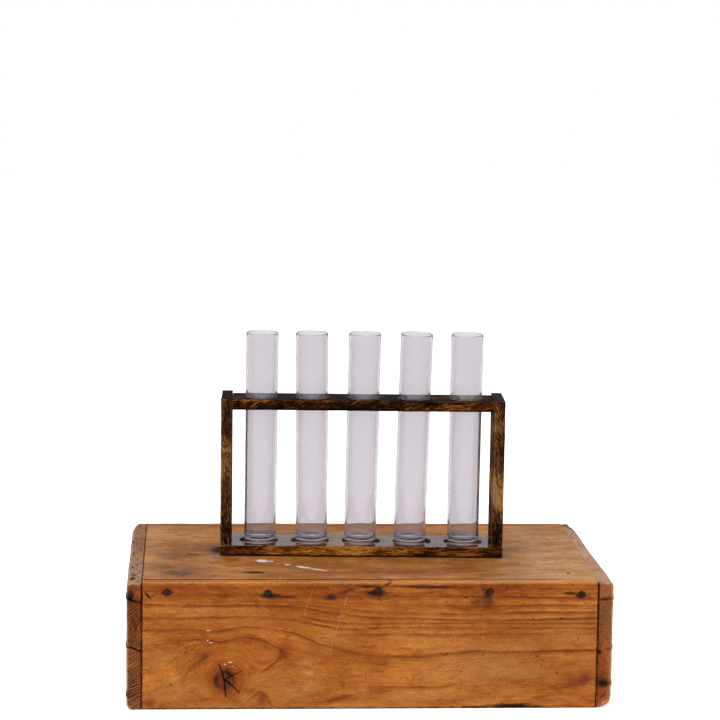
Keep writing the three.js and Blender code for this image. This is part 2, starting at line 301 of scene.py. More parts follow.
class Finish:
    """A material under construction, with short ways to add its nodes."""

    def __init__(self, name):
        self.material = bpy.data.materials.new(name)
        self.material.use_nodes = True
        self.tree = self.material.node_tree
        self.shader = self.tree.nodes["Principled BSDF"]
        self.place = self.node("TexCoord").outputs["Object"]
        self.mm = self.vector("SCALE", self.place, scale=1 / MM)

    def put(self, socket, value):
        if isinstance(value, bpy.types.NodeSocket):
            self.tree.links.new(value, socket)
        else:
            socket.default_value = value

    def node(self, kind, **settings):
        made = self.tree.nodes.new("ShaderNode" + kind)
        for name, value in settings.items():
            setattr(made, name, value)
        return made

    def math(self, operation, a, b=0.0, c=0.0):
        made = self.node("Math", operation=operation)
        for socket, value in zip(made.inputs, (a, b, c)):
            self.put(socket, value)
        return made.outputs[0]

    def vector(self, operation, a, b=(0.0, 0.0, 0.0), scale=1.0):
        made = self.node("VectorMath", operation=operation)
        self.put(made.inputs[0], a)
        self.put(made.inputs[1], b)
        self.put(made.inputs[3], scale)
        return made.outputs["Value" if operation in ("DOT_PRODUCT", "LENGTH") else "Vector"]

    def value(self, name):
        return self.node("Attribute", attribute_name=name).outputs["Fac"]

    def split(self, vector):
        made = self.node("SeparateXYZ")
        self.put(made.inputs[0], vector)
        return made.outputs

    def join(self, x, y, z=0.0):
        made = self.node("CombineXYZ")
        for socket, value in zip(made.inputs, (x, y, z)):
            self.put(socket, value)
        return made.outputs[0]

    def noise(self, vector, scale, detail=2.0, roughness=0.5, distortion=0.0):
        made = self.node("TexNoise")
        values = (vector, scale, detail, roughness, distortion)
        for name, value in zip(("Vector", "Scale", "Detail", "Roughness", "Distortion"), values):
            self.put(made.inputs[name], value)
        return made.outputs["Fac"]

    def span(self, value, start, end, low=0.0, high=1.0):
        """Low at start, high at end, smooth between and level beyond."""
        made = self.node("MapRange", interpolation_type="SMOOTHSTEP")
        for socket, number in zip(made.inputs, (value, start, end, low, high)):
            self.put(socket, number)
        return made.outputs[0]

    def ramp(self, value, *stops):
        """Grey levels, or colours, at shares of a value."""
        made = self.node("ValToRGB")
        made.color_ramp.elements.remove(made.color_ramp.elements[0])
        for i, (share, level) in enumerate(stops):
            stop = made.color_ramp.elements[0] if i == 0 else made.color_ramp.elements.new(share)
            stop.position = share
            stop.color = level if isinstance(level, tuple) else (level, level, level, 1)
        self.put(made.inputs[0], value)
        return made.outputs["Color"]

    def mix(self, share, first, second, blend="MIX"):
        made = self.node("Mix", data_type="RGBA", blend_type=blend)
        for place, value in ((0, share), (6, first), (7, second)):
            self.put(made.inputs[place], value)
        return made.outputs[2]

    def scratch(self, start, end):
        """1 on a fine straight scratch between two places, and 0 off it."""
        start, run = Vector(start), Vector(end) - Vector(start)
        away = self.vector("SUBTRACT", self.mm, start)
        along = self.math("DIVIDE", self.vector("DOT_PRODUCT", away, run), run.length_squared)
        along = self.math("MINIMUM", self.math("MAXIMUM", along, 0), 1)
        nearest = self.vector("SCALE", run, scale=along)
        return self.span(self.vector("LENGTH", self.vector("SUBTRACT", away, nearest)), *SCRATCH_EDGE, 1, 0)

    def bump(self, height, distance, strength=1.0):
        made = self.node("Bump")
        self.put(made.inputs["Height"], height)
        self.put(made.inputs["Distance"], distance)
        self.put(made.inputs["Strength"], strength)
        self.put(self.shader.inputs["Normal"], made.outputs[0])


def colour(code):
    """A colour for a socket from its six-figure screen code."""
    parts = [int(code[i : i + 2], 16) / 255 for i in (0, 2, 4)]
    return tuple(c / 12.92 if c <= 0.04045 else ((c + 0.055) / 1.055) ** 2.4 for c in parts) + (1.0,)


def pine(
    name, wood, pale, red, line, end_wood, bleached, greyness=0.0, figure=1.0, gloss=0.25, along=X,
    scratches=(),
):
    """Old pine. Its boards carry ring and gap, the rings and how far apart they are; ink, how dark they are
    drawn; flow, which is even across the fibres; end and worn, where end grain and rubbed edges are; and
    stain, smoke, flush, shade, faded, dark_line, paint and pale_patch, how strong each kind of mark is.
    The dark lines of cracks and joints also hold a painted contact shadow along each board's foot; stain
    and shade also hold a painted shadow on the top beside the rack's left foot, and faded a painted band of
    light thrown up from the floor along the front's foot. Figure is how fine its fibres are drawn."""
    made = Finish(name)
    ring, gap, flow = made.value("ring"), made.value("gap"), made.value("flow")
    end, worn, faded = made.value("end"), made.value("worn"), made.value("faded")
    lengthways = made.split(made.mm)[along]
    across = made.split(made.mm)[Y if along == X else X]

    # Growth rings: a thin dark line with a soft side, at each whole number of ring.
    waver = made.math("MULTIPLY_ADD", made.noise(made.mm, 0.06, 3), 2.4, -1.2)
    tremble = made.math("MULTIPLY_ADD", made.noise(made.mm, 0.4, 2), 0.8, -0.4)
    part = made.math("SUBTRACT", made.math("FRACT", made.math("ADD", ring, 0.5)), 0.5)
    off = made.math("MULTIPLY_ADD", part, gap, made.math("ADD", waver, tremble))
    drawn = made.ramp(
        made.math("MULTIPLY_ADD", off, 0.1, 0.5),
        (0.4, 0.0), (0.465, 0.9), (0.53, 0.9), (0.59, 0.45), (0.78, 0.0),
    )
    halo = made.ramp(
        made.math("MULTIPLY_ADD", off, 0.1, 0.5),
        (0.3, 0.0), (0.5, 0.7), (0.6, 0.5), (0.95, 0.0),
    )
    patchy = made.span(made.noise(made.mm, 0.045, 3), 0.32, 0.6, 0.45, 1.0)
    strength = made.math("MULTIPLY", made.value("ink"), patchy)
    drawn, halo = made.math("MULTIPLY", drawn, strength), made.math("MULTIPLY", halo, strength)

    # Fibres: coarse and fine flecks that follow the rings, and short dark pores.
    even, side = made.math("MULTIPLY", flow, figure), made.math("MULTIPLY", across, 0.6 * figure)
    bands = made.noise(made.join(made.math("MULTIPLY", lengthways, 0.008), even), 0.4, 3, 0.6)
    coarse = made.noise(made.join(made.math("MULTIPLY", lengthways, 0.12), even, side), 0.55, 3, 0.68)
    fine = made.noise(made.join(made.math("MULTIPLY", lengthways, 0.4), even, side), 1.1, 3, 0.7)
    speck = made.noise(made.mm, 0.75, 2, 0.7)
    pore_place = made.join(made.math("MULTIPLY", lengthways, 0.3), flow, across)
    pores = made.node("TexVoronoi")
    made.put(pores.inputs["Vector"], pore_place)
    made.put(pores.inputs["Scale"], 0.5)
    pore = made.math(
        "MULTIPLY",
        made.span(pores.outputs["Distance"], 0.14, 0.26, 1, 0),
        made.span(made.math("MULTIPLY_ADD", worn, 0.1, made.noise(made.mm, 0.07, 3)), 0.565, 0.64),
    )
    cloud = made.noise(made.vector("MULTIPLY", made.mm, (0.011, 0.024, 0.024)), 1.0, 4, 0.55)
    blush = made.noise(made.vector("MULTIPLY", made.mm, (0.045, 0.1, 0.1)), 1.0, 4, 0.6, 0.5)

    base = made.mix(made.span(cloud, 0.38, 0.64), wood, pale)
    base = made.mix(made.span(blush, 0.48, 0.7, 0, 0.75), base, red)
    base = made.mix(made.span(bands, 0.5, 0.72, 0, 0.5), base, red)
    base = made.mix(made.span(coarse, 0.5, 0.8, 0, 0.5), base, red)
    base = made.mix(made.span(coarse, 0.46, 0.2, 0, 0.45), base, bleached)
    base = made.mix(made.span(speck, 0.6, 0.8, 0, 0.4), base, bleached)
    base = made.mix(made.math("MULTIPLY", faded, 0.85), base, bleached)
    base = made.mix(halo, base, red)
    base = made.mix(made.math("MULTIPLY", drawn, 0.75), base, line)

    # End grain is darker and shows its rings sharply.
    ends = made.mix(made.span(cloud, 0.35, 0.7), end_wood, red)
    pits = made.noise(made.mm, 0.55, 4, 0.75)
    ends = made.mix(made.span(pits, 0.52, 0.68, 0, 0.7), ends, colour("46200e"))
    ends = made.mix(made.span(pits, 0.46, 0.3, 0, 0.55), ends, colour("cd8348"))
    ends = made.mix(made.math("MULTIPLY", faded, 0.55), ends, colour("c98d62"))
    ends = made.mix(made.math("MINIMUM", made.math("MULTIPLY", drawn, 1.1), 1.0), ends, colour("1e0d05"))
    base = made.mix(made.math("MULTIPLY", end, 0.92), base, ends)

    # A century of hands: grey dirt in patches, bare pale wood where the edges rub, and fine light scratches.
    grime = made.noise(made.vector("MULTIPLY", made.mm, (0.016, 0.045, 0.045)), 1.0, 5, 0.62, 0.4)
    base = made.mix(made.span(grime, 0.5, 0.7, 0, greyness), base, colour("59402a"))
    chafed = made.span(made.math("MULTIPLY_ADD", made.noise(made.mm, 0.4, 4, 0.6), 1.2, worn), 1.1, 1.55)
    base = made.mix(made.math("MULTIPLY", chafed, 0.65), base, bleached)
    broken = made.span(made.noise(made.mm, 0.25, 3), 0.4, 0.6, 0.05, 0.5)
    for from_place, to_place in scratches:
        scratched = made.math("MULTIPLY", made.scratch(from_place, to_place), broken)
        base = made.mix(scratched, base, colour("cf8a50"))
    tone = made.math("MULTIPLY_ADD", coarse, -0.6, made.math("MULTIPLY_ADD", fine, 1.0, 0.35))
    tone = made.math("MULTIPLY_ADD", speck, 0.5, made.math("MULTIPLY_ADD", cloud, 0.5, tone))
    base = made.vector("SCALE", base, scale=tone)
    base = made.vector("MULTIPLY", base, made.mix(made.value("shade"), (1, 1, 1, 1), (0.70, 0.56, 0.38, 1)))

    # Rust and black dirt, with a painted shadow on the top beside the rack's left foot; smoke, reddened wood,
    # pores, drops of paint, a pale lilac-grey patch, and cracks and dark joints, with a painted contact
    # shadow along each board's foot.
    broad = made.noise(made.join(made.math("MULTIPLY", lengthways, 0.35), flow, across), 0.3, 4, 0.65)
    blots = made.math("MULTIPLY_ADD", fine, 0.55, made.math("MULTIPLY_ADD", broad, 1.0, made.value("stain")))
    base = made.mix(made.span(blots, 0.95, 1.4, 0, 0.7), base, colour("50290f"))
    dark = made.span(blots, 1.2, 1.75)
    base = made.mix(made.math("MULTIPLY", dark, 0.92), base, colour("180d07"))
    smoke = made.span(made.math("MULTIPLY_ADD", broad, 0.8, made.value("smoke")), 0.55, 1.3, 0, 0.8)
    base = made.mix(smoke, base, colour("54482c"))
    flush = made.span(made.math("MULTIPLY_ADD", broad, 0.8, made.value("flush")), 0.55, 1.1, 0, 0.85)
    base = made.mix(flush, base, colour("8a3a1e"))
    base = made.mix(made.math("MULTIPLY", pore, 0.8), base, colour("2a1205"))
    flake = made.noise(made.mm, 0.9, 4, 0.7)
    painted = made.span(made.math("MULTIPLY_ADD", flake, 0.9, made.value("paint")), 0.95, 1.08)
    base = made.mix(made.math("MULTIPLY", painted, 0.9), base, colour("f2e9e2"))
    pale_patch = made.span(made.math("MULTIPLY_ADD", speck, 0.3, made.value("pale_patch")), 0.4, 0.9)
    base = made.mix(pale_patch, base, colour("a8969c"))
    base = made.mix(made.value("dark_line"), base, colour("060302"))
    made.put(made.shader.inputs["Base Color"], base)

    matt = made.math("MULTIPLY_ADD", fine, 0.3, 0.4)
    matt = made.math("MULTIPLY_ADD", dark, 0.2, matt)
    matt = made.math("MULTIPLY_ADD", made.value("dark_line"), 0.5, matt)
    made.put(made.shader.inputs["Roughness"], matt)
    made.shader.inputs["Specular IOR Level"].default_value = gloss
    relief = made.math("MULTIPLY_ADD", coarse, 0.6, made.math("MULTIPLY", fine, 0.5))
    relief = made.math("MULTIPLY_ADD", drawn, -0.25, relief)
    relief = made.math("MULTIPLY_ADD", pore, -0.6, relief)
    relief = made.math("MULTIPLY_ADD", painted, 0.4, relief)
    made.bump(relief, 0.5 * MM, 0.8)
    return made.material


# The rings that show on the front, from the upper edge down: places along each, and where it is dark, from,
# to and how much. Towards the knot they part, and two of them close round a clear patch with a dark tip.
FRONT_RINGS = (
    (((-205, 124), (205, 124)), ()),
    (((-205, 112), (-100, 112), (0, 113), (100, 112), (205, 110)), ((-205, 205, 0.4),)),
    (
        ((-205, 104.5), (-120, 105), (-60, 104), (0, 103.5), (60, 104), (205, 102)),
        ((-180, -40, 0.5), (-40, 205, 0.9)),
    ),
    (
        ((-205, 101), (-120, 99.5), (-30, 97.5), (30, 96.5), (100, 94.3), (160, 95.5), (205, 94.5)),
        ((-120, 30, 0.4), (30, 205, 0.8)),
    ),
    (
        ((-205, 99), (-60, 96.3), (-40, 94), (0, 90), (40, 88), (80, 86.8), (150, 88.8), (205, 88.5)),
        ((-60, -10, 0.6), (-10, 205, 0.85)),
    ),
    (
        (
            (-205, 97), (-165, 95.3), (-130, 95.8), (-65, 94.3), (-50, 92), (-40, 89.5), (-20, 87),
            (0, 84.5), (60, 82.5), (90, 81), (130, 81.5), (205, 83),
        ),
        ((-205, 205, 1.0),),
    ),
    (
        ((-205, 90), (-120, 90.5), (-75, 87.5), (-57, 84.5), (-40, 81), (-10, 78.5), (50, 79), (205, 78.5)),
        ((-205, -70, 0.15), (-62, -15, 0.9), (-15, 205, 0.6)),
    ),
    (
        (
            (-205, 84), (-165, 84), (-130, 85), (-90, 84.5), (-65, 82), (-50, 78.5), (-35, 75.5),
            (-15, 73.5), (10, 75), (50, 75), (90, 74), (150, 74.5), (205, 74),
        ),
        ((-205, 205, 0.7),),
    ),
    (
        (
            (-205, 78.5), (-150, 78.3), (-110, 80.5), (-80, 78), (-60, 73.5), (-45, 70.5), (-10, 69),
            (30, 69), (80, 68), (120, 69), (205, 70),
        ),
        ((-205, -60, 0.12), (-30, 205, 0.7)),
    ),
    (
        (
            (-205, 73.5), (-180, 73.3), (-160, 74), (-140, 71.5), (-130, 73), (-110, 76), (-95, 75.5),
            (-80, 73), (-65, 69.5), (-55, 64.5), (-45, 59.5), (-30, 56.5), (-10, 51), (5, 48.5), (40, 48.5),
            (70, 51), (100, 53), (120, 52), (205, 53.5),
        ),
        ((-205, -8, 0.9), (-8, 60, 0.6), (60, 205, 0.95)),
    ),
    (
        (
            (-205, 58), (-188, 60), (-172, 63), (-155, 65), (-143, 63.5), (-135, 62), (-125, 64.5),
            (-115, 66.5), (-105, 66), (-95, 63), (-87, 59), (-80, 54), (-76, 51.5), (-50, 46), (0, 40),
            (100, 38), (205, 38),
        ),
        ((-195, -77, 0.95),),
    ),
    (
        (
            (-205, 12), (-180, 18), (-170, 23), (-165, 33), (-157, 42), (-147, 49.5), (-138, 55.5),
            (-125, 51), (-114, 46.5), (-104, 38), (-99, 35.5), (-93, 38), (-87, 42), (-82, 46.5),
            (-77, 50.5), (-50, 41), (0, 33), (100, 31), (205, 32),
        ),
        ((-168, -140, 0.6), (-112, -100, 0.5), (-100, -77, 0.95)),
    ),
    (
        (
            (-205, 9), (-175, 15), (-160, 12), (-125, 8), (-110, 16), (-99, 22), (-88, 22), (-60, 20),
            (0, 20.3), (60, 19.5), (75, 22.5), (110, 26), (205, 27),
        ),
        ((-5, 80, 0.55), (80, 150, 0.2)),
    ),
    (
        (
            (-205, 6), (-175, 12), (-160, 8), (-150, 3), (-130, -2), (-118, 2), (-110, 8), (-104, 13),
            (-99, 15.5), (-94, 13), (-90, 7), (-87, 2), (-60, 5), (0, 10), (60, 8), (205, 12),
        ),
        ((-170, -150, 0.35), (-120, -88, 0.85), (-60, 10, 0.3)),
    ),
    (((-205, -12), (205, -12)), ()),
)
KNOT = (-131.0, 26.5)
KNOT_HALF = (13.5, 14.5)
# Each crack runs through three places from the knot's heart outwards, and opens by its last value.
KNOT_CRACKS = (
    ((-131.5, 27), (-133, 34), (-136, 41.5), 1.0),
    ((-131, 27), (-130.5, 18), (-129.5, 10.5), 1.0),
    ((-131, 27), (-124, 21.5), (-117.5, 15), 1.0),
    ((-131, 27), (-123, 31.5), (-115.5, 35), 0.6),
)


def smooth_through(places, x):
    """Heights at x of a curve through some places, level at both ends, without overshoot."""
    px, pz = np.array(places, float).T
    run = np.diff(px)
    rise = np.diff(pz) / run
    slope = np.zeros(len(px))
    for i in range(1, len(px) - 1):
        if rise[i - 1] * rise[i] > 0:
            slope[i] = 2 * rise[i - 1] * rise[i] / (rise[i - 1] + rise[i])
    k = np.clip(np.searchsorted(px, x) - 1, 0, len(run) - 1)
    t = np.clip((x - px[k]) / run[k], 0, 1)
    bend = (1 + 2 * t) * (1 - t) ** 2 * pz[k] + t**2 * (3 - 2 * t) * pz[k + 1]
    return bend + run[k] * (t * (1 - t) ** 2 * slope[k] - t**2 * (1 - t) * slope[k + 1])


def arris(board):
    """1 along a board's upper edge, falling to 0 a few millimetres below it."""
    return fade(board.sawn[:, Z], board.high[Z] - 2.6, board.high[Z] - 0.6)


front_low, front_high = snug("front_board", X)
front = Board(
    front_low, front_high, FACE_CELL,
    (((-205, -194, 0.7), (-148, -112, 0.6)), (), ((8, 44, 0.6), (97, 113, 0.8))),
)
flat = front.sawn[:, [X, Z]]
heights = np.array([smooth_through(places, flat[:, 0]) for places, _ in FRONT_RINGS])
heights = np.minimum.accumulate(heights, 0)
below = np.clip((heights > flat[:, 1]).sum(0), 1, len(heights) - 1)
picked = np.arange(len(flat))
upper, lower = heights[below - 1, picked], heights[below, picked]
room = np.maximum(upper - lower, 0.8)
share = np.clip((upper - flat[:, 1]) / room, 0, 1)
strength = np.zeros((len(FRONT_RINGS), len(flat)))
for i, (_, stretches) in enumerate(FRONT_RINGS):
    for start, end, dark in stretches:
        inside = fade(flat[:, 0], start - 5, start + 5) * (1 - fade(flat[:, 0], end - 5, end + 5))
        strength[i] = np.maximum(strength[i], dark * inside)
near_knot = np.hypot(*((flat - KNOT) / KNOT_HALF).T)
spread = 1 - fade(near_knot, 0.9, 2.2)
front.values["ring"] = below - 1 + share
front.values["gap"] = room
ink = np.where(share < 0.5, strength[below - 1, picked], strength[below, picked])
front.values["ink"] = ink * fade(near_knot, 0.8, 1.1)
level = heights.mean(1)
even = level[below - 1] + (level[below] - level[below - 1]) * share
front.values["flow"] = even * (1 - spread) + (60 - 16 * near_knot) * spread
front.values["end"] = 1.0 * (front.on(X, LOW) | front.on(X, HIGH))

stain = nail_marks(front, (Y, LOW), [f"front_nail_{i}" for i in range(1, 6)])
# Rust, tar and dirt on the front, as rows for patches.
FRONT_STAINS = (
    ((-182, 107.5), 7, 3.2, 0, 0.85),
    ((-92, 104.5), 12, 3.0, 0, 0.95),
    ((-80, 103.5), 16, 1.6, 0, 0.75),
    ((-37, 103), 9, 3.4, 8, 0.72),
    ((-22, 109), 14, 4.2, 24, 0.56),
    ((-4, 113), 13, 2.2, 0, 0.72),
    ((-200.2, 105.4), 5.5, 1.0, -52, 1.15),
    ((-199, 109), 6, 1.6, 0, 0.5),
    ((4, 107), 12, 3.4, 0, 1.0),
    ((50, 112.5), 38, 2.0, -1, 0.8),
    ((56, 108), 20, 1.6, 3, 0.45),
    ((140, 113.2), 50, 1.0, 0, 0.4),
    ((14, 115), 6, 1.6, 30, 0.8),
    ((86, 112), 8, 1.8, 0, 0.7),
    ((104, 105), 11, 4.0, -60, 0.75),
    ((100, 97), 13, 9, 0, 0.5),
    ((188, 105), 7, 3.2, 0, 0.8),
    ((179, 106.5), 8, 1.6, 0, 0.9),
    ((128, 1.5), 22, 3.0, 0, 1.2),
    ((96, 0.8), 20, 1.6, 0, 0.95),
    ((150, 1.2), 14, 1.4, 0, 0.8),
    ((193, 24), 13, 4.5, 24, 0.5),
    ((174, 19), 12, 2.6, 6, 0.42),
    ((-91, 7), 2.4, 6, -10, 0.4),
    ((-80, 53), 4.5, 3.6, -40, 0.5),
    ((-149, 48), 9, 4, 38, 0.45),
    ((-165, 5), 40, 5, 0, 0.22),
    ((5, 17), 14, 4, 0, 0.26),
    ((-25, 12), 30, 4, 12, 0.22),
    ((8, 46), 40, 3.5, 2, 0.2),
    ((169, 33), 2.2, 0.9, 40, 0.9),
    ((151, 48), 1.6, 1.2, 0, 0.9),
    ((82, 35), 6, 0.8, 65, 0.62),
    ((138, 19), 1.8, 0.8, 0, 0.8),
    ((202, 74), 2.0, 1.2, 60, 0.9),
)
# Where age has browned the front.
FRONT_SHADES = (
    ((-78, 50), 7, 6, -45, 1.0),
    ((-98, 61), 14, 3, -30, 0.7),
    ((-20, 52), 16, 5, -8, 0.7),
    ((9, 42), 12, 7, -4, 0.85),
    ((45, 46), 30, 4, 2, 0.6),
    ((8, 16), 15, 6, 4, 0.95),
    ((-28, 10), 22, 4, 8, 0.5),
    ((-25, 30), 7, 10, 0, 0.5),
    ((-95, 7), 5, 8, -20, 0.75),
    ((184, 26), 18, 7, 20, 1.0),
    ((-185, 20), 10, 8, 20, 0.45),
    ((-150, 48), 12, 6, 30, 0.4),
    ((95, 96), 14, 12, 0, 0.7),
    ((-165, 5), 45, 5, 0, 0.4),
    ((-108, 100), 18, 6, 0, 0.7),
    ((-108, 86), 20, 8, 0, 0.35),
    ((2, 24), 16, 8, 0, 0.45),
)
stain = patches(flat, FRONT_STAINS, stain)
# The knot: a dark disc with bark round it, blackest at the upper right, and browned wood about it.
bearing = np.arctan2(flat[:, 1] - KNOT[1], flat[:, 0] - KNOT[0])
bark = swell(near_knot, 0.55, 0.26)
upper_right = swell(bearing, 0.95, 0.85)
far_left = swell(np.abs(bearing), math.pi, 1.1)
disc = 0.48 * (1 - fade(near_knot, 0.6, 1.05))
core = 0.6 * swell(near_knot, 0, 0.4)
stain = np.maximum.reduce([stain, disc, bark * (0.3 + 0.62 * np.maximum(upper_right, 0.7 * far_left)), core])
shade = np.maximum(0.6 * fade(flat[:, 1], 95, 107), 0.95 * (1 - fade(near_knot, 0.7, 1.6)))
shade = patches(flat, FRONT_SHADES, shade)
dark_line = np.zeros(len(flat))
for *bends, strong in KNOT_CRACKS:
    for k, (start, end) in enumerate(zip(bends, bends[1:])):
        away, along = distance_to(flat, start, end)
        half_width = 0.98 - 0.26 * (k + along)
        dark_line = np.maximum(dark_line, strong * (1 - fade(away, half_width * 0.3, half_width)))
dark_line *= front.on(Y, LOW)
# Where resin has reddened it.
FRONT_FLUSH = (
    ((194, 27), 8, 5, 30, 0.8),
    ((182, 22), 14, 4, 12, 0.6),
    ((-198, 6), 8, 8, 0, 0.6),
    ((-190, 3), 30, 2.5, 0, 0.35),
    ((-97, 10), 4, 7, -20, 0.7),
    ((-107, 17), 5, 2, 30, 0.5),
    ((-30, 9), 26, 2.2, 14, 0.7),
    ((8, 16), 13, 3, 4, 0.5),
    ((-78, 51), 6, 4, -45, 0.5),
    ((-150, 3), 40, 2.5, 0, 0.3),
)
front.values["flush"] = patches(flat, FRONT_FLUSH)
# The right joint gapes a little towards the top.
gape = 1.25 + 0.3 * wander(17, flat, 6)
gape = (1 - fade(front.depth(X, HIGH), gape * 0.5, gape)) * fade(flat[:, 1], 84, 90) * front.on(Y, LOW)
front.press((Y, LOW), 2.2 * dark_line + 0.25 * (1 - fade(near_knot, 0.5, 1.1)))
front.values["stain"] = stain
front.values["shade"] = shade * (1 - front.on(Z, HIGH))
# Where it has bleached, besides its upper edge, with a painted band of light from the floor along its foot.
FRONT_PALE = (
    ((-56, 44), 10, 3.5, 8, 0.5),
    ((-55, 33), 9, 2.5, 0, 0.4),
    ((-57, 19), 11, 5, 12, 0.6),
    ((-185, 46), 14, 6, 20, 0.3),
    ((-100, 27), 10, 5, 30, 0.3),
    ((60, 30), 26, 7, 0, 0.25),
    ((-60, 8), 12, 4, -10, 0.35),
    ((150, 30), 26, 9, 0, 0.2),
    ((112, 42), 30, 9, 0, 0.5),
    ((176, 70), 36, 14, 0, 0.4),
    ((120, 84), 60, 5, 0, 0.3),
    ((50, 13), 40, 6, 0, 0.4),
    ((-150, 92), 40, 5, 0, 0.3),
    ((-75, 17), 30, 8, 0, 0.45),
    ((-110, 10), 12, 5, 0, 0.35),
    ((95, 50), 40, 14, 0, 0.45),
    ((60, 60), 30, 10, 0, 0.3),
    # These three rows paint in light thrown up from the floor along the foot.
    ((-140, 3), 30, 4, 0, 0.45),
    ((0, 3), 90, 4, 0, 0.4),
    ((90, 4), 90, 4, 0, 0.3),
    ((-170, 20), 30, 10, 0, 0.3),
    ((122, 34), 42, 9, 0, 0.65),
    ((122, 55), 42, 8, 0, 0.45),
    ((150, 84), 30, 6, 0, 0.4),
    ((-36, 60), 18, 8, 0, 0.35),
)
pale_wood = (0.22 + 0.4 * fade(flat[:, 0], -60, 110)) * arris(front)
front.values["faded"] = patches(flat, FRONT_PALE, pale_wood)
front.values["dark_line"] = np.maximum(dark_line, gape)
# Drops of white paint.
FRONT_PAINT = (
    ((-146.5, 63.8), 2.4, 1.7, 0, 0.72),
    ((-143.5, 61.8), 2.2, 1.6, 0, 0.72),
    ((-145, 73), 5, 1.0, 0, 0.72),
    ((-139, 73.5), 2, 0.8, 0, 0.72),
    ((-126, 43.5), 3.6, 1.3, 0, 0.72),
    ((-131, 41.5), 2.6, 1.2, 0, 0.72),
    ((-124, 39.5), 1.4, 0.8, 0, 0.72),
)
front.values["paint"] = patches(flat, FRONT_PAINT)
wear(front, 11)

# Fine scratches, from and to, just under the front's sawn face.
SCRATCHES = [
    [(x, front_low[Y] + 0.1, z) for x, z in ends]
    for ends in (
        ((-20, 108), (-26, 91)), ((-27, 89), (-33, 66)), ((-53, 110), (-60, 88)), ((-41, 40), (-42, 24)),
        ((-5, 41), (-7, 22)), ((-2, 40), (-3.5, 24)), ((104, 92), (101, 60)), ((-34, 64), (-38, 44)),
    )
]
front_pine = pine(
    "front_pine", colour("ad5d19"), colour("c3762f"), colour("95430c"), colour("64270a"), colour("7c4a22"),
    colour("d0934f"), greyness=0.1, gloss=0.15, scratches=SCRATCHES,
)
front_board = front.piece("front_board_worn", front_pine)
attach(front_board, "crate")
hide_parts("front_board")

# Back board
# The front board's twin, sawn from the same kind of plank and nailed in the same way. From the front only its
# top edge shows.
FLAT_SAWN = 9.0
PLAIN_CELL = 2.6


def ring_round(board, along, pith, drift, spacing, seed, ink=0.7):
    """Rings of a plank cut from a round log: pith is where the log's middle lies beside the board, at the
    middle of its length, and drift is how far that moves from end to end."""
    sides = [axis for axis in (X, Y, Z) if axis != along]
    across_waves, along_waves = 30.0, 170.0
    run = (board.sawn[:, along] - board.low[along]) / (board.high[along] - board.low[along]) - 0.5
    middle = np.array(pith, float) + run[:, None] * np.array(drift, float)
    reach = np.linalg.norm(board.sawn[:, sides] - middle, axis=1)
    waves = [along_waves if axis == along else across_waves for axis in (X, Y, Z)]
    reach += 2.2 * wander(seed, board.sawn / waves, 1.0) + 0.5 * wander(seed + 1, board.sawn / waves, 0.3)
    board.values["ring"] = reach / spacing
    board.values["gap"] = spacing
    board.values["flow"] = reach
    board.values["ink"] = ink
    board.values["end"] = 1.0 * (board.on(along, LOW) | board.on(along, HIGH))
    for name in ("stain", "dark_line", "paint", "shade", "faded"):
        board.values[name] = 0.0


back = Board(*snug("back_board", X), PLAIN_CELL)
ring_round(back, X, (250, 20), (10, 44), FLAT_SAWN, 21, 0.85)
back_nails = [f"back_nail_{i}" for i in range(1, 6)]
back_drips = []
for node in back_nails:
    low, high = corners_of(node)
    back_drips.append((((low[X] + high[X]) / 2 + 3, high[Z] - 4), 9, 2.4, 0, 0.85))
stain = nail_marks(back, (Y, HIGH), back_nails)
back.values["stain"] = patches(back.sawn[:, [X, Z]], back_drips, stain)
back.values["faded"] = 0.45 * arris(back)
wear(back, 23)
back_board = back.piece("back_board_worn", front_pine)
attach(back_board, "crate")
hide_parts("back_board")

# Top board
# A wide pine plank between the other four boards, flush with their upper edges. Years of standing things on
# it have left it paler and greyer than the sides, with stains, a split and spilt paint.
top = Board(*snug("top_board", X, Y), FACE_CELL, (((-115, -97, 1.0),), ((-90, -84, 0.7),), ()))
ring_round(top, X, (-30, 20), (60, 30), 7.5, 31, 0.25)
flat = top.sawn[:, [X, Y]]
TOP_STAINS_AND_SHADOW = (
    # A painted shadow on the top, left of the rack's left foot:
    ((-136, 6), 10, 18, 0, 0.95),
    ((-160, -14), 14, 5, 0, 0.75),
    ((-172, -92), 20, 11, 0, 0.5),
    ((-148, -99), 20, 6, 0, 0.42),
    ((-180, -68), 20, 8, 0, 0.4),
    ((-104, -87), 11, 5, 0, 0.95),
    ((-175, -40), 24, 5, 0, 0.22),
    ((-120, -62), 26, 6, 0, 0.22),
    ((182, -91), 1.5, 4, -20, 1.1),
    ((90, -80), 26, 9, 0, 0.3),
    ((-64, -106), 1.6, 3, 0, 0.6),
    ((150, -64), 4, 1.2, 0, 0.5),
)
TOP_BROWNING_AND_SHADOW = (
    ((-168, -90), 26, 16, 0, 0.75),
    ((-148, -78), 18, 14, 0, 0.4),
    ((-176, -50), 20, 14, 0, 0.45),
    ((-148, -30), 16, 24, 0, 0.4),
    ((-172, -8), 28, 24, 0, 0.75),
    # A painted shadow beside the rack's left foot:
    ((-138, 0), 14, 20, 0, 0.8),
    ((-60, -60), 70, 10, 0, 0.5),
    ((92, -76), 30, 14, 0, 1.0),
    ((-170, -22), 24, 20, 0, 0.9),
    ((-130, -24), 14, 16, 0, 0.8),
    ((-152, 4), 16, 14, 0, 0.95),
    ((10, -85), 60, 14, 4, 0.35),
    ((60, -50), 40, 14, 0, 0.45),
    ((102, -98), 14, 4, 0, 0.6),
    ((135, -40), 20, 30, 0, 0.2),
)
top.values["stain"] = patches(flat, TOP_STAINS_AND_SHADOW)
top.values["shade"] = patches(flat, TOP_BROWNING_AND_SHADOW)
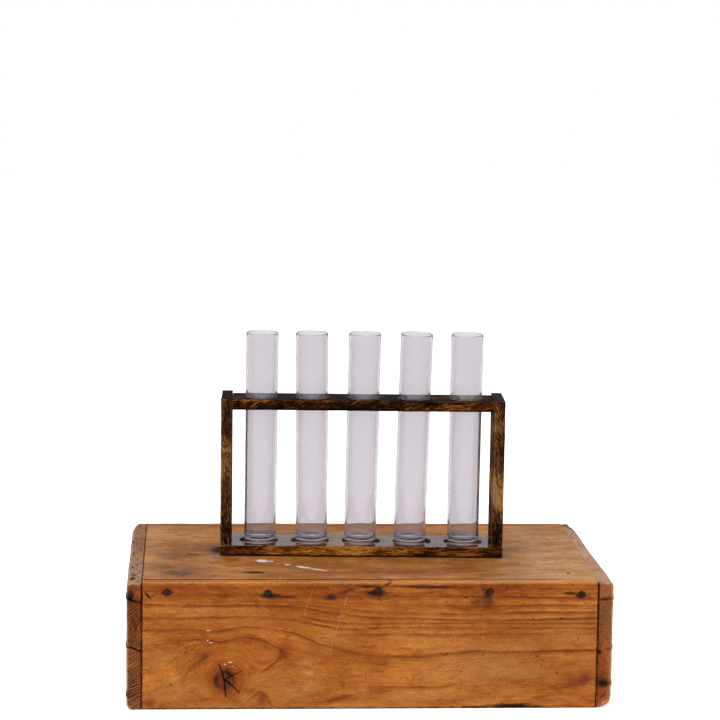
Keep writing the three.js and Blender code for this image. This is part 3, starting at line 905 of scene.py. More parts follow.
# Both its ends are bleached, the right one up to the front edge, and the middle a little towards the back.
ends_pale = np.maximum(0.35 * fade(-flat[:, 0], 165, 200), 0.78 * fade(flat[:, 0], 95, 165))
ends_pale += 0.1 * fade(flat[:, 1], 30, 105) * (1 - fade(flat[:, 0], 60, 130))
ends_pale -= 0.4 * fade(flat[:, 1], 60, 105) * fade(flat[:, 0], 95, 165)
ends_pale += 0.3 * fade(-flat[:, 1], 96, 110) * fade(flat[:, 0], 40, 120)
top.values["faded"] = np.clip(ends_pale + 0.12 * wander(35, flat, (60, 24)), 0, 1)
TOP_SMOKE = (
    ((-172, -88), 22, 13, 0, 0.75),
    ((-186, -66), 14, 12, 0, 0.6),
    ((-140, -98), 22, 7, 0, 0.5),
    ((-176, -14), 24, 22, 0, 0.6),
    ((-130, -28), 12, 12, 0, 0.45),
    ((-170, -50), 20, 14, 0, 0.3),
    ((-60, -40), 30, 12, 0, 0.2),
)
top.values["smoke"] = patches(flat, TOP_SMOKE)
away, _ = distance_to(flat, (-116, -87.5), (-97, -87.5))
dark_line = (1 - fade(away, 0.3, 1.2)) * top.on(Z, HIGH)
top.press((Z, HIGH), 1.4 * dark_line)
top.values["dark_line"] = dark_line * 0.85
TOP_PAINT = (
    ((-96, -41), 7, 8, 20, 1.0),
    ((-88, -43), 5, 4, 0, 0.85),
    ((-62, -64), 6, 4.5, -30, 0.8),
    ((-57, -68), 9, 4.2, -26, 0.85),
    ((-47, -75), 10, 3.4, -26, 0.85),
    ((-40, -80), 7, 2.2, -24, 0.8),
    ((-73, -56), 4, 3.4, 20, 0.9),
    ((30, -73), 1.2, 3, 0, 0.8),
)
top.values["paint"] = patches(flat, TOP_PAINT)
# A pale lilac-grey patch runs out from under the rack's left foot.
top.values["pale_patch"] = 0.65 * blot(flat, (-139, -19), 13, 5) * (flat[:, 0] < -128)
wear(top, 33)
top_pine = pine(
    "top_pine", colour("a8672a"), colour("bf7f40"), colour("93521d"), colour("5a2e12"), colour("6f4420"),
    colour("cc9a6a"), greyness=0.35, figure=0.17, gloss=0.06,
)
top_board = top.piece("top_board_worn", top_pine)
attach(top_board, "crate")
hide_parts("top_board")

# End boards
# Each end is one pine board with its end grain to the front and the back, nailed to both. The nails have
# split the left one's edge, and the right one is rubbed round at its lower corner. Both have lost the sharp
# corners of their tops behind.
LEFT_SPLITS = (
    ((-219, 102.5), (-211, 99), (-204, 97.5)),
    ((-219, 57.5), (-213.5, 57), (-209.5, 54.8), (-204, 52.5)),
)
# How far each board's knocked-off corner reaches along X, how many times that along Y, and between which
# heights it fades in.
KNOCKED = {"left": (12.5, 2.3), "right": (14.0, 1.1)}
KNOCKED_HEIGHTS = (106.5, 112)
TOP_GRIME = {"left": 0.4, "right": 0.24}
FACE_INK = 0.6
GRAIN_DEPTH = 12.0


def end_board(side, away, finer, pith, spacing, seed, ink):
    """One end board's skin with its rings and the marks of its nails, where away is the side it faces."""
    made = Board(*corners_of(f"{side}_end_board"), PLAIN_CELL, finer)
    ring_round(made, Y, pith, (4, 10), spacing, seed, ink)
    made.values["ink"] = np.where(made.values["end"] > 0, ink, FACE_INK)
    made.values["ink"] *= 1 - 0.75 * fade(made.sawn[:, Z], crate_high[Z] - 3, crate_high[Z] - 0.5)
    marks = np.zeros(len(made.points))
    for row in ("front", "back"):
        nails = [f"{side}_end_{row}_nail_{i}" for i in range(1, 4)]
        marks = np.maximum(marks, nail_marks(made, (X, away), nails))
    made.values["stain"] = np.maximum(marks, TOP_GRIME[side] * made.on(Z, HIGH))
    return made


def knock_corner(board, side, away):
    """Takes off the upright corner at an end board's back, over the topmost few millimetres."""
    reach, stretch = KNOCKED[side]
    radius = BROKEN_EDGE + reach * fade(board.sawn[:, Z], *KNOCKED_HEIGHTS)
    board.ease(crate_low, crate_high, ((X, away), (Y, HIGH)), radius, stretch)


def close_to(board, axis, end, reach):
    """1 on one of a board's sawn faces, falling to 0 with the depth below it."""
    return np.exp(-board.depth(axis, end) / reach)


left = end_board(
    "left", LOW, (((-219, -204, 0.55),), (), ((94, 104, 0.5), (50, 60, 0.5))), (-290, 150), 2.3, 41, 0.88
)
flat = left.sawn[:, [X, Z]]
dark_line = np.zeros(len(flat))
for bends in LEFT_SPLITS:
    for start, end in zip(bends, bends[1:]):
        away, along = distance_to(flat, start, end)
        wide = 0.95 - 0.3 * fade(flat[:, 0], -218, -205)
        dark_line = np.maximum(dark_line, 1 - fade(away, 0.3, wide))
dark_line *= left.on(Y, LOW)
left.press((Y, LOW), 3.0 * dark_line)
left.values["dark_line"] = dark_line
LEFT_STAINS = (
    ((-215.5, 103.5), 4.5, 7, 0, 0.95),
    ((-218, 88), 2, 14, 0, 0.5),
    ((-217, 62), 3, 5, 0, 0.5),
    ((-217.5, 14), 2, 5, 0, 0.8),
    ((-212, 27), 1.4, 1.2, 0, 0.9),
    ((-212, 80), 13, 1.2, -70, 0.85),
    ((-209, 86), 8, 1.0, -55, 0.7),
    ((-211, 71), 7, 0.8, -80, 0.6),
    ((-208, 100), 6, 2, 20, 0.5),
)
LEFT_TOP_SPOTS = (
    ((-214, -110), 4, 6, 0, 1.25),
    ((-213, -96), 4, 9, 0, 0.75),
    ((-215, -66), 2, 4, 0, 1.1),
    ((-211, -56), 1.5, 4, 0, 1.0),
    ((-217, 40), 1.5, 9, 0, 1.0),
    ((-215, 72), 3, 5, 0, 0.6),
    ((-209, 10), 2, 6, 0, 0.8),
    ((-212, -26), 5, 10, 0, 0.45),
)
near_front = close_to(left, Y, LOW, GRAIN_DEPTH)
marks = patches(flat, LEFT_STAINS) * near_front
spots = patches(left.sawn[:, [X, Y]], LEFT_TOP_SPOTS) * close_to(left, Z, HIGH, GRAIN_DEPTH / 2)
left.values["stain"] = np.maximum.reduce([left.values["stain"], marks, spots])
upper = fade(left.sawn[:, Z], crate_high[Z] - 5, crate_high[Z] - 1)
handled = fade(-left.sawn[:, Y], -60, 80)
left.values["faded"] = np.maximum(
    upper * (0.3 + 0.54 * handled),
    0.2 * (1 - fade(left.sawn[:, Z], 40, 52)) * near_front,
)
left.values["shade"] = np.maximum(upper * (0.45 - 0.35 * handled), 0.3 * left.on(X, LOW))
knock_corner(left, "left", LOW)
wear(left, 43)

right = end_board("right", HIGH, (((204, 219, 0.7),), (), ()), (216, 240), 2.1, 51, 0.45)
flat = right.sawn[:, [X, Z]]
near_front = close_to(right, Y, LOW, GRAIN_DEPTH)
clear_ends = fade(flat[:, 1], 50, 66) * (1 - fade(flat[:, 1], 98, 104))
right.values["ink"] *= 1 - near_front * (1 - clear_ends)
joint_side = 0.7 * (1 - fade(flat[:, 0], 206, 214)) * near_front
right.values["shade"] = np.maximum(joint_side, 0.3 * right.on(X, HIGH))
RIGHT_STAINS = (
    ((212, 101.5), 9, 1.8, 3, 0.95),
    ((211, 23), 8, 4.5, 0, 1.1),
    ((207, 52), 2.2, 1.5, 20, 1.5),
    ((215, 55), 4, 2.4, 0, 0.7),
    ((211, 42), 9, 14, 0, 0.34),
    ((211, 27), 9, 12, 0, 0.5),
    ((207, 60), 2.5, 40, 0, 0.38),
    ((213, 70), 3, 8, 0, 0.3),
    ((212, 12), 4, 1.2, 50, 0.9),
    ((208, 8), 4, 10, 0, 0.35),
)
right.values["stain"] = np.maximum(right.values["stain"], patches(flat, RIGHT_STAINS) * near_front)
right.values["faded"] = np.maximum.reduce([
    fade(right.sawn[:, Z], crate_high[Z] - 6, crate_high[Z] - 1) * (0.85 + 0.2 * wander(55, right.sawn, 22)),
    (0.2 + 0.4 * near_front) * fade(right.sawn[:, X], 213, 218.5),
    0.6 * near_front * fade(right.sawn[:, Z], 56, 66) * (1 - 0.5 * fade(right.sawn[:, X], 206, 212)),
])
# Its top is rubbed rounder and rounder towards the back, and is worn down there.
WORN_DOWN, RUB, RUB_LENGTH = 2.6, 7.5, 130
right.press((Z, HIGH), WORN_DOWN * fade(right.sawn[:, Y], 88, 112))
rubbed = BROKEN_EDGE + RUB * np.clip((right.sawn[:, Y] - crate_low[Y]) / RUB_LENGTH, 0, 1)
right.ease(crate_low, crate_high, ((X, HIGH), (Z, HIGH)), rubbed)
knock_corner(right, "right", HIGH)
wear(right, 53)

end_pine = pine(
    "end_pine", colour("aa642a"), colour("bf7e3e"), colour("8a4718"), colour("502510"), colour("b05a20"),
    colour("c9a080"), greyness=0.25, figure=0.6, gloss=0.12, along=Y,
)
for side, board in (("left", left), ("right", right)):
    made = board.piece(f"{side}_end_board_worn", end_pine)
    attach(made, "crate")
    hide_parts(f"{side}_end_board")

# Crate nails
# Cut nails of dark rusty iron, with hammered heads that are no two alike. They hold the front and back boards
# to the top board, and the end boards to the ends of those two, and are driven flush or a little proud.
HEAD_HEIGHT = 1.4
SHANK = 1.3
NAIL_LENGTH = 26.0
NAIL_POINT = 4.0
NAIL_TIP = 0.05


class Nodes:
    """A geometry tree with named inputs, and short ways to add its nodes."""

    def __init__(self, name, **inputs):
        self.tree = bpy.data.node_groups.new(name, "GeometryNodeTree")
        self.tree.interface.new_socket("Geometry", in_out="INPUT", socket_type="NodeSocketGeometry")
        for label, kind in inputs.items():
            self.tree.interface.new_socket(
                label.replace("_", " "), in_out="INPUT", socket_type="NodeSocket" + kind
            )
        self.tree.interface.new_socket("Geometry", in_out="OUTPUT", socket_type="NodeSocketGeometry")
        self.start = self.tree.nodes.new("NodeGroupInput").outputs
        self.end = self.tree.nodes.new("NodeGroupOutput").inputs[0]

    def add(self, kind, *values, out=0, **settings):
        """Adds a node, with values for its inputs in order, and gives one of its outputs."""
        made = self.tree.nodes.new(kind)
        for name, value in settings.items():
            setattr(made, name, value)
        sockets = [socket for socket in made.inputs if socket.enabled]
        for socket, value in zip(sockets, values):
            if isinstance(value, bpy.types.NodeSocket):
                self.tree.links.new(value, socket)
            elif value is not None:
                socket.default_value = value
        return [socket for socket in made.outputs if socket.enabled][out]

    def maths(self, operation, *values):
        return self.add("ShaderNodeMath", *values, operation=operation)

    def vector(self, operation, *values):
        return self.add("ShaderNodeVectorMath", *values, operation=operation)

    def raised(self, geometry, rise):
        """Moves a form along Z."""
        return self.add("GeometryNodeTransform", geometry, self.add("ShaderNodeCombineXYZ", 0.0, 0.0, rise))

    def finish(self, geometry, material):
        """Ends the tree with plain geometry in one material."""
        geometry = self.add("GeometryNodeRealizeInstances", geometry)
        geometry = self.add("GeometryNodeSetMaterial", geometry, None, material)
        self.tree.links.new(geometry, self.end)

    def grow(self, made, **values):
        """Runs the tree on an object and leaves its result there as a plain mesh."""
        modifier = made.modifiers.new(self.tree.name, "NODES")
        modifier.node_group = self.tree
        names = {item.name: item.identifier for item in self.tree.interface.items_tree}
        for label, value in values.items():
            modifier[names[label.replace("_", " ")]] = value
        view = bpy.context.evaluated_depsgraph_get()
        mesh = bpy.data.meshes.new_from_object(made.evaluated_get(view))
        made.modifiers.remove(modifier)
        made.data = mesh
        mesh.name = made.name
        return made


def points_object(name, points, edges=(), **values):
    """A mesh of bare points, with named values at them, for a tree to work on."""
    mesh = bpy.data.meshes.new(name)
    mesh.from_pydata([tuple(point) for point in points], list(edges), [])
    for label, at_points in values.items():
        at_points = np.array(at_points, float)
        kind = "FLOAT_VECTOR" if at_points.ndim == 2 else "FLOAT"
        layer = mesh.attributes.new(label, kind, "POINT")
        layer.data.foreach_set("vector" if at_points.ndim == 2 else "value", at_points.ravel())
    made = bpy.data.objects.new(name, mesh)
    bpy.context.scene.collection.objects.link(made)
    return made


rust = Finish("dark_rust")
blister = rust.noise(rust.mm, 0.9, 5, 0.65)
scale_off = rust.span(rust.noise(rust.mm, 0.35, 3), 0.45, 0.62)
iron = rust.mix(rust.span(blister, 0.35, 0.7), colour("150c08"), colour("3c251a"))
iron = rust.mix(rust.math("MULTIPLY", scale_off, 0.5), iron, colour("4c3022"))
rust.put(rust.shader.inputs["Base Color"], iron)
rust.put(rust.shader.inputs["Roughness"], rust.span(blister, 0.3, 0.7, 0.5, 0.8))
rust.shader.inputs["Specular IOR Level"].default_value = 0.2
rust.bump(blister, 0.25 * MM, 0.9)

# One tree makes any row of driven nails: a flat head, a shank and a point, at each place.
nails = Nodes(
    "driven_nails", Head_Radius="Float", Head_Height="Float", Shank_Radius="Float", Length="Float",
    Point="Float", Roughness="Float", Sides="Int", Finish="Material",
)
_, head_radius, head_height, shank_radius, length, point, uneven, sides, finish, _ = nails.start
plate = nails.add("GeometryNodeMeshCylinder", sides, 3, 4, head_radius, head_height)
plate = nails.raised(plate, nails.maths("MULTIPLY", head_height, -0.5))
straight = nails.maths("SUBTRACT", nails.maths("SUBTRACT", length, point), head_height)
shank = nails.add("GeometryNodeMeshCylinder", sides, 8, 1, shank_radius, straight)
shank_drop = nails.maths("MULTIPLY_ADD", straight, -0.5, nails.maths("MULTIPLY", head_height, -1.0))
shank = nails.raised(shank, shank_drop)
tip = nails.add("GeometryNodeMeshCone", sides, 2, 1, shank_radius, NAIL_TIP * MM, point)
tip = nails.raised(tip, nails.maths("MULTIPLY", length, -1.0))
join = nails.tree.nodes.new("GeometryNodeJoinGeometry")
for part in (tip, shank, plate):
    nails.tree.links.new(part, join.inputs[0])
outward = nails.add("GeometryNodeInputNamedAttribute", "outward", data_type="FLOAT_VECTOR")
turn = nails.add("FunctionNodeAlignRotationToVector", None, 1.0, outward, axis="Z")
spin = nails.add("FunctionNodeRandomValue", -3.1, 3.1, None, 5, data_type="FLOAT")
turn = nails.add(
    "FunctionNodeRotateRotation", turn, nails.add("FunctionNodeAxisAngleToRotation", (0, 0, 1), spin),
    rotation_space="LOCAL",
)
row = nails.add("GeometryNodeInstanceOnPoints", nails.start[0], None, join.outputs[0], None, None, turn)
row = nails.add("GeometryNodeRealizeInstances", row)
# Noise knocks each nail uneven, but most of its push along the nail is taken back, so that heads stay flush.
dimple = nails.add(
    "ShaderNodeTexNoise", nails.add("GeometryNodeInputPosition"), 420.0, 2.0, 0.5, 2.0, out=1,
)
knocked = nails.vector("SUBTRACT", dimple, (0.5, 0.5, 0.5))
knock = nails.vector("SCALE", knocked, uneven)
outwards = nails.maths("MULTIPLY", nails.vector("DOT_PRODUCT", knock, outward), 0.8)
taken_back = nails.vector("SCALE", outward, outwards)
knock = nails.vector("SUBTRACT", knock, taken_back)
row = nails.add("GeometryNodeSetPosition", row, None, None, knock)
row = nails.add("GeometryNodeSetShadeSmooth", row, None, True)
nails.finish(row, finish)


def driven(name, kind, nodes, body, slot, sunk, **sizes):
    """The nails of one body as a piece, each in its solid's place but sunk a little further in. Its way
    runs from the point to the head's face."""
    places, ways = [], []
    for node in nodes:
        co = np.array([v.co for v in frame["nodes"][node].data.vertices])
        centre = co.mean(0)
        far = np.linalg.norm(co - centre, axis=1)
        way = centre - co[far > far.max() - MM / 2].mean(0)
        way /= np.linalg.norm(way)
        places.append(centre + way * (((co - centre) @ way).max() - sunk * MM))
        ways.append(way)
    made = kind.grow(points_object(name, places, outward=ways), **sizes)
    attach(made, body)
    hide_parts(*nodes)
    return made


driven(
    "crate_nails", nails, sorted(n for n in frame["nodes"] if "_nail_" in n), "crate", "rusty_nail", 0.25,
    Head_Radius=NAIL_HEAD * MM, Head_Height=HEAD_HEIGHT * MM, Shank_Radius=SHANK * MM,
    Length=NAIL_LENGTH * MM, Point=NAIL_POINT * MM, Roughness=1.3 * MM, Sides=20, Finish=rust.material,
)

# Rack boards
# Four narrow boards of softwood, torched until the grain stands out dark, brushed, varnished and bradded
# together. The base board has five shallow recesses for the tubes' feet, and the rail has a hole over each.
left_middle, right_middle = (sum(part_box(node), Vector()) / 2 for node in ("left_post", "right_post"))
rack_turn = math.atan2(right_middle.y - left_middle.y, right_middle.x - left_middle.x)
upright = Matrix.Rotation(rack_turn, 4, "Z")
RACK_EASE = 0.8
RACK_CELL = 1.6
WORN_EDGE = 1.1
FACE_SUNK = 0.1


def square_corners(node):
    """Lowest and highest corner of a rack board, in millimetres, on axes that are turned with the rack."""
    co = np.array([v.co for v in frame["nodes"][node].data.vertices]) @ np.array(upright.to_3x3())
    return co.min(0) / MM, co.max(0) / MM


def torched(name, along, seed, slant, fineness, varnish, browns, drawn_out=0.15):
    """Torched and varnished wood: short golden flecks on near-black, slanted to the board's length. Its
    boards carry gold, how much brown is left, raised into a painted highlight along the left post's outer
    edge and the rail's upper edge towards the left; worn, where their edges rub; and dark_line, where a
    contact shadow is painted along the base's foot."""
    made = Finish(name)
    square = made.node("Mapping", vector_type="TEXTURE")
    made.put(square.inputs["Vector"], made.mm)
    square.inputs["Rotation"].default_value = (0, 0, rack_turn)
    square.inputs["Location"].default_value = (seed * 37.0, seed * 11.0, seed * 5.0)
    x, y, z = made.split(square.outputs[0])
    lengthways, a, b = (x, z, y) if along == X else (z, x, y)
    bend = made.math("MULTIPLY_ADD", made.noise(square.outputs[0], 0.03, 2), 16.0, a)
    bend = made.math("MULTIPLY_ADD", lengthways, slant, bend)
    fleck_place = made.join(made.math("MULTIPLY", lengthways, drawn_out), bend, b)
    fleck = made.noise(fleck_place, fineness, 3, 0.65, 0.8)
    fine = made.noise(made.join(made.math("MULTIPLY", lengthways, 0.2), bend, b), 1.6, 3, 0.7)
    zone = made.noise(made.join(made.math("MULTIPLY", lengthways, 0.5), a, b), 0.06, 3, 0.5)
    tone = made.math("MULTIPLY_ADD", fleck, 1.5, made.math("MULTIPLY", fine, 0.7))
    tone = made.math("MULTIPLY_ADD", zone, 0.9, tone)
    tone = made.math("ADD", tone, made.math("SUBTRACT", made.value("gold"), 1.1))
    edge = made.span(made.math("MULTIPLY_ADD", fine, 0.8, made.value("worn")), 0.75, 1.25)
    tone = made.math("MULTIPLY_ADD", edge, 0.12, tone)
    shares = (0.28, 0.42, 0.56, 0.7, 0.88)
    base = made.ramp(tone, *((share, colour(brown)) for share, brown in zip(shares, browns)))
    base = made.vector("SCALE", base, scale=made.math("MULTIPLY_ADD", fine, 0.8, 0.6))
    base = made.mix(made.math("MULTIPLY", made.value("dark_line"), 0.95), base, colour("050201"))
    made.put(made.shader.inputs["Base Color"], base)
    made.put(made.shader.inputs["Roughness"], made.span(fine, 0.3, 0.75, 0.35, 0.55))
    made.shader.inputs["Specular IOR Level"].default_value = 0.0
    made.shader.inputs["Coat Weight"].default_value = varnish
    made.shader.inputs["Coat Roughness"].default_value = 0.12
    made.shader.inputs["Coat Tint"].default_value = (1.0, 0.94, 0.98, 1)
    made.bump(made.math("MULTIPLY_ADD", fleck, 0.8, made.math("MULTIPLY", fine, 0.35)), 0.35 * MM, 0.6)
    return made.material


def rack_board(node, cell, seed, along, finer=((), (), ())):
    """A rack board's skin, brushed along its fibres, on the rack's own axes."""
    low, high = square_corners(node)
    made = Board(low, high, cell, finer)
    worn = np.zeros(len(made.points))
    for a, b in ((X, Y), (X, Z), (Y, Z)):
        for end_a in (LOW, HIGH):
            for end_b in (LOW, HIGH):
                far = np.hypot(made.depth(a, end_a), made.depth(b, end_b))
                worn = np.maximum(worn, swell(far, 0, WORN_EDGE))
    made.values["worn"] = worn
    made.values["gold"] = made.values["dark_line"] = 0.0
    made.break_edges(RACK_EASE * (1 + 0.3 * wander(seed, made.sawn, 18)))
    fibre_width, fibre_length = 1.6, 40.0
    waves = [fibre_length if axis == along else fibre_width for axis in (X, Y, Z)]
    brushed = 0.09 * wander(seed + 1, made.sawn / waves, 1.0, 14) + 0.05 * wander(seed + 2, made.sawn, 30)
    for axis in (X, Y, Z):
        if axis != along:
            for end in (LOW, HIGH):
                made.press((axis, end), FACE_SUNK + brushed)
    return made


def set_square(made):
    """Turns a piece from the rack's own axes into its place."""
    made.data.transform(upright)
    return made


# One tree turns a closed form from half its outline, which is given as points that may have rounded corners.
lathe = Nodes("turned_form", Sides="Int", Corner_Points="Int", Finish="Material")
outline = lathe.add("GeometryNodeMeshToCurve", lathe.start[0])
corner = lathe.add("GeometryNodeInputNamedAttribute", "corner", data_type="FLOAT")
outline = lathe.add("GeometryNodeFilletCurve", outline, lathe.start[2], corner, True, mode="POLY")
count = lathe.add("GeometryNodeAttributeDomainSize", outline, component="CURVE")
sheet = lathe.add("GeometryNodeMeshGrid", 1.0, 1.0, lathe.maths("ADD", lathe.start[1], 1.0), count)
spot = lathe.add("GeometryNodeInputPosition")
spot_x = lathe.add("ShaderNodeSeparateXYZ", spot, out=0)
spot_y = lathe.add("ShaderNodeSeparateXYZ", spot, out=1)
step = lathe.maths("MULTIPLY", lathe.maths("ADD", spot_y, 0.5), lathe.maths("SUBTRACT", count, 1.0))
drawn = lathe.add(
    "GeometryNodeSampleIndex", outline, lathe.add("GeometryNodeInputPosition"), lathe.maths("ROUND", step),
    data_type="FLOAT_VECTOR", domain="POINT",
)
angle = lathe.maths("MULTIPLY", lathe.maths("ADD", spot_x, 0.5), math.tau)
round_it = lathe.add("ShaderNodeVectorRotate", drawn, None, angle, rotation_type="Z_AXIS")
form = lathe.add("GeometryNodeSetPosition", sheet, None, round_it)
form = lathe.add("GeometryNodeMergeByDistance", form, None, 1e-6)
form = lathe.add("GeometryNodeSetShadeSmooth", form, None, True)
lathe.finish(form, lathe.start[3])


def turn_form(name, outline, sides, corner_points, material):
    """A closed form turned round Z from [radius, height, corner radius] points in metres."""
    rows = np.array(outline, float)
    points = np.stack((rows[:, 0], 0 * rows[:, 0], rows[:, 1]), 1)
    links = [(i, i + 1) for i in range(len(rows) - 1)]
    made = points_object(name, points, links, corner=rows[:, 2])
    return lathe.grow(made, Sides=sides, Corner_Points=corner_points, Finish=material)


TUBE_PITCH = 48.0
HOLE_RADIUS = 15.75
RECESS_RADIUS = 18.0
RECESS_DEPTH = 2.5
RECESS_CORNER = 0.4
EASED = 0.7
# How far the tools that cut the holes and recesses reach past the wood.
OVERSHOOT = 4.0
BORE_SIDES = 72
TUBES = range(1, 6)


def tube_line(i):
    """A tube's foot, the way it leans and its length, from its solid."""
    way = Vector(next(j["axis"] for j in frame["joints"] if j["child"] == f"tube_{i}")).normalized()
    co = np.array([v.co for v in frame["nodes"][f"glass_tube_{i}"].data.vertices])
    reach = co @ np.array(way)
    middle = co.mean(0)
    foot = Vector(middle) + way * (reach.min() - middle @ np.array(way))
    return foot, way, reach.max() - reach.min()


def bored(board_piece, cutter, places):
    """Cuts a turned tool out of a board at each place, with the tool's own upper end as the mouth."""
    tools = []
    for place in places:
        tool = bpy.data.objects.new("tool", cutter.data.copy())
        tool.data.transform(Matrix.Translation(place))
        bpy.context.scene.collection.objects.link(tool)
        tools.append(tool)
    for tool in tools:
        cut = board_piece.modifiers.new("bore", "BOOLEAN")
        cut.operation = "DIFFERENCE"
        cut.solver = "EXACT"
        cut.object = tool
    view = bpy.context.evaluated_depsgraph_get()
    mesh = bpy.data.meshes.new_from_object(board_piece.evaluated_get(view))
    board_piece.modifiers.clear()
    board_piece.data = mesh
    for tool in tools:
        bpy.data.objects.remove(tool)
    bpy.data.objects.remove(cutter)
    mesh.set_sharp_from_angle(angle=math.radians(40))
    return board_piece


base_wood = torched(
    "torched_base", X, 1, slant=0.03, fineness=0.8, varnish=0.63,
    browns=("0d0502", "38190a", "6b380e", "99601c", "bf8c3c"), drawn_out=0.07,
)
rail_wood = torched(
    "torched_rail", X, 2, slant=-0.3, fineness=0.85, varnish=0.05,
    browns=("0b0502", "2a1307", "5c300f", "82501e", "a4733a"),
)
post_wood = torched(
    "torched_posts", Z, 3, slant=0.25, fineness=1.0, varnish=0.05,
    browns=("0f0804", "2e190c", "5a361b", "845a30", "ad8050"),
)

base_low, base_high = square_corners("rack_base")
base_middle = (base_low + base_high) / 2
mouth_radius = RECESS_RADIUS + OVERSHOOT
recess_outline = [
    (0, -RECESS_DEPTH, 0),
    (RECESS_RADIUS, -RECESS_DEPTH, RECESS_CORNER),
    (RECESS_RADIUS, 0, EASED),
    (mouth_radius, 0, 0),
    (mouth_radius, OVERSHOOT, 0),
    (0, OVERSHOOT, 0),
]
recess_tool = turn_form("recess_tool", np.array(recess_outline) * MM, BORE_SIDES, 4, base_wood)
recess_places = []
for i in TUBES:
    recess_x = base_middle[X] + (i - 3) * TUBE_PITCH
    recess_places.append((recess_x * MM, base_middle[Y] * MM, (base_high[Z] - FACE_SUNK) * MM))
base_skin = rack_board("rack_base", RACK_CELL, 61, X)
base_x = base_skin.sawn[:, X] - base_middle[X]
base_gold = (
    0.09 + 0.11 * swell(base_x, 0, 75) + 0.08 * swell(base_x, 2, 32)
    + 0.04 * swell(base_x, -55, 20) - 0.15 * swell(base_x, 66, 24)
    - 0.2 * fade(base_x, 100, 118) - 0.2 * fade(-base_x, 78, 106)
)
base_skin.values["gold"] = np.where(base_skin.on(Z, HIGH), -0.03, base_gold)
# A dark band along the base's foot is painted in as its contact shadow on the crate.
base_skin.values["dark_line"] = 1 - fade(base_skin.depth(Z, LOW), 1.0, 1.9)
base = base_skin.piece("rack_base_torched", base_wood)
base = set_square(bored(base, recess_tool, recess_places))
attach(base, "rack")
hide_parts("rack_base")

for i, side in enumerate(("left", "right")):
    post_skin = rack_board(f"{side}_post", RACK_CELL, 71 + 5 * i, Z)
    height = post_skin.sawn[:, Z] - post_skin.low[Z]
    if side == "left":
        # A lighter strip along its outer edge is a painted highlight on the rounded edge.
        post_skin.values["gold"] = (
            0.12 * fade(height, 20, 100) - 0.1 * fade(height, 88, 110) - 0.3 * post_skin.on(Z, HIGH)
            + 0.16 * swell(height, 73, 16)
            + 0.1 * (1 - fade(post_skin.depth(X, LOW), 0.8, 2.4)) - 0.04
        )
    else:
        slope = height - 0.9 * (post_skin.depth(X, HIGH) - 5)
        tan = 0.25 * fade(slope, 34, 41) * (1 - fade(height, 56, 84))
        tan += 0.09 * swell(height, 114, 9) - 0.1 * swell(height, 84, 12)
        tan -= 0.08 * (1 - fade(slope, 31, 35))
        post_skin.values["gold"] = tan + 0.045 - 0.16 * fade(height, 126, 136)
    post = post_skin.piece(f"{side}_post_torched", post_wood)
    set_square(post)
    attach(post, "rack")
    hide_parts(f"{side}_post")

rail_low, rail_high = square_corners("rack_rail")
half = (rail_high[Z] - rail_low[Z]) / 2
mouth_radius, mouth, clear_of_wood = HOLE_RADIUS + OVERSHOOT, half - FACE_SUNK, half + OVERSHOOT
hole_outline = [
    (0, -clear_of_wood, 0),
    (mouth_radius, -clear_of_wood, 0),
    (mouth_radius, -mouth, 0),
    (HOLE_RADIUS, -mouth, EASED),
    (HOLE_RADIUS, mouth, EASED),
    (mouth_radius, mouth, 0),
    (mouth_radius, clear_of_wood, 0),
    (0, clear_of_wood, 0),
]
hole_tool = turn_form("hole_tool", np.array(hole_outline) * MM, BORE_SIDES, 4, rail_wood)
hole_places = []
for i in TUBES:
    foot, way, _ = tube_line(i)
    rise = ((rail_low[Z] + rail_high[Z]) / 2 * MM - foot.z) / way.z
    hole_places.append(upright.inverted() @ (foot + way * rise))
rail_skin = rack_board("rack_rail", RACK_CELL, 81, X)
rail_x = rail_skin.sawn[:, X] - (rail_low[X] + rail_high[X]) / 2
# A lighter band just under its upper edge, towards the left, is a painted highlight along that edge.
rail_skin.values["gold"] = (
    0.13 * swell(rail_x, 84, 28) - 0.13 * swell(rail_x, -22, 28)
    + 0.1 * fade(rail_skin.sawn[:, Z], rail_high[Z] - 4, rail_high[Z] - 2) * (rail_skin.sawn[:, X] < 10)
    - 0.06 - 0.25 * (1 - fade(rail_skin.depth(Z, LOW), 0.5, 2.5)) - 0.2 * rail_skin.on(Z, HIGH)
)
rail = rail_skin.piece("rack_rail_torched", rail_wood)
rail = set_square(bored(rail, hole_tool, hole_places))
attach(rail, "rack")
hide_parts("rack_rail")

# Rack brads
# Thin bright wire brads, set just under the surface: up through the base into the posts, and through the
# posts into the rail's ends.
bright = Finish("wire_steel")
dull = bright.noise(bright.mm, 1.2, 4, 0.6)
steel = bright.mix(dull, colour("8c8680"), colour("5d5852"))
bright.put(bright.shader.inputs["Base Color"], steel)
bright.put(bright.shader.inputs["Roughness"], bright.span(dull, 0.3, 0.7, 0.28, 0.5))
bright.shader.inputs["Metallic"].default_value = 1.0
driven(
    "rack_brads", nails, sorted(n for n in frame["nodes"] if "_brad_" in n), "rack", "steel_brad", 0.05,
    Head_Radius=1.2 * MM, Head_Height=0.8 * MM, Shank_Radius=0.7 * MM,
    Length=22.0 * MM, Point=2.0 * MM, Roughness=0.05 * MM, Sides=16, Finish=bright.material,
)

# Glass tubes
# Five flat-footed tubes of clear glass, drawn and cut to length, with thick floors and fire-rounded rims.
# They stand loose in the rack and lean as its holes let them.
TUBE_RADIUS = 15.0
TUBE_WALL = 1.8
TUBE_FLOOR = 4.5
# The outer and inner roundings at the foot, and how far the straight walls' meshes keep off both ends.
FOOT_ROUND, FLOOR_ROUND = 1.8, 5.5
FOOT_RING, RIM_RING = 12.0, 6.0
# The thick foot's glass is painted dark, a painted shade for the dark rack seen through it, up to these
# heights above the crate.
FOOT_DARK, FOOT_CLEAR = 10.5, 14
FOOT_PAINTED_DARK, WALL_TINT = (0.16, 0.1, 0.095, 1), (0.83, 0.8, 0.83, 1)

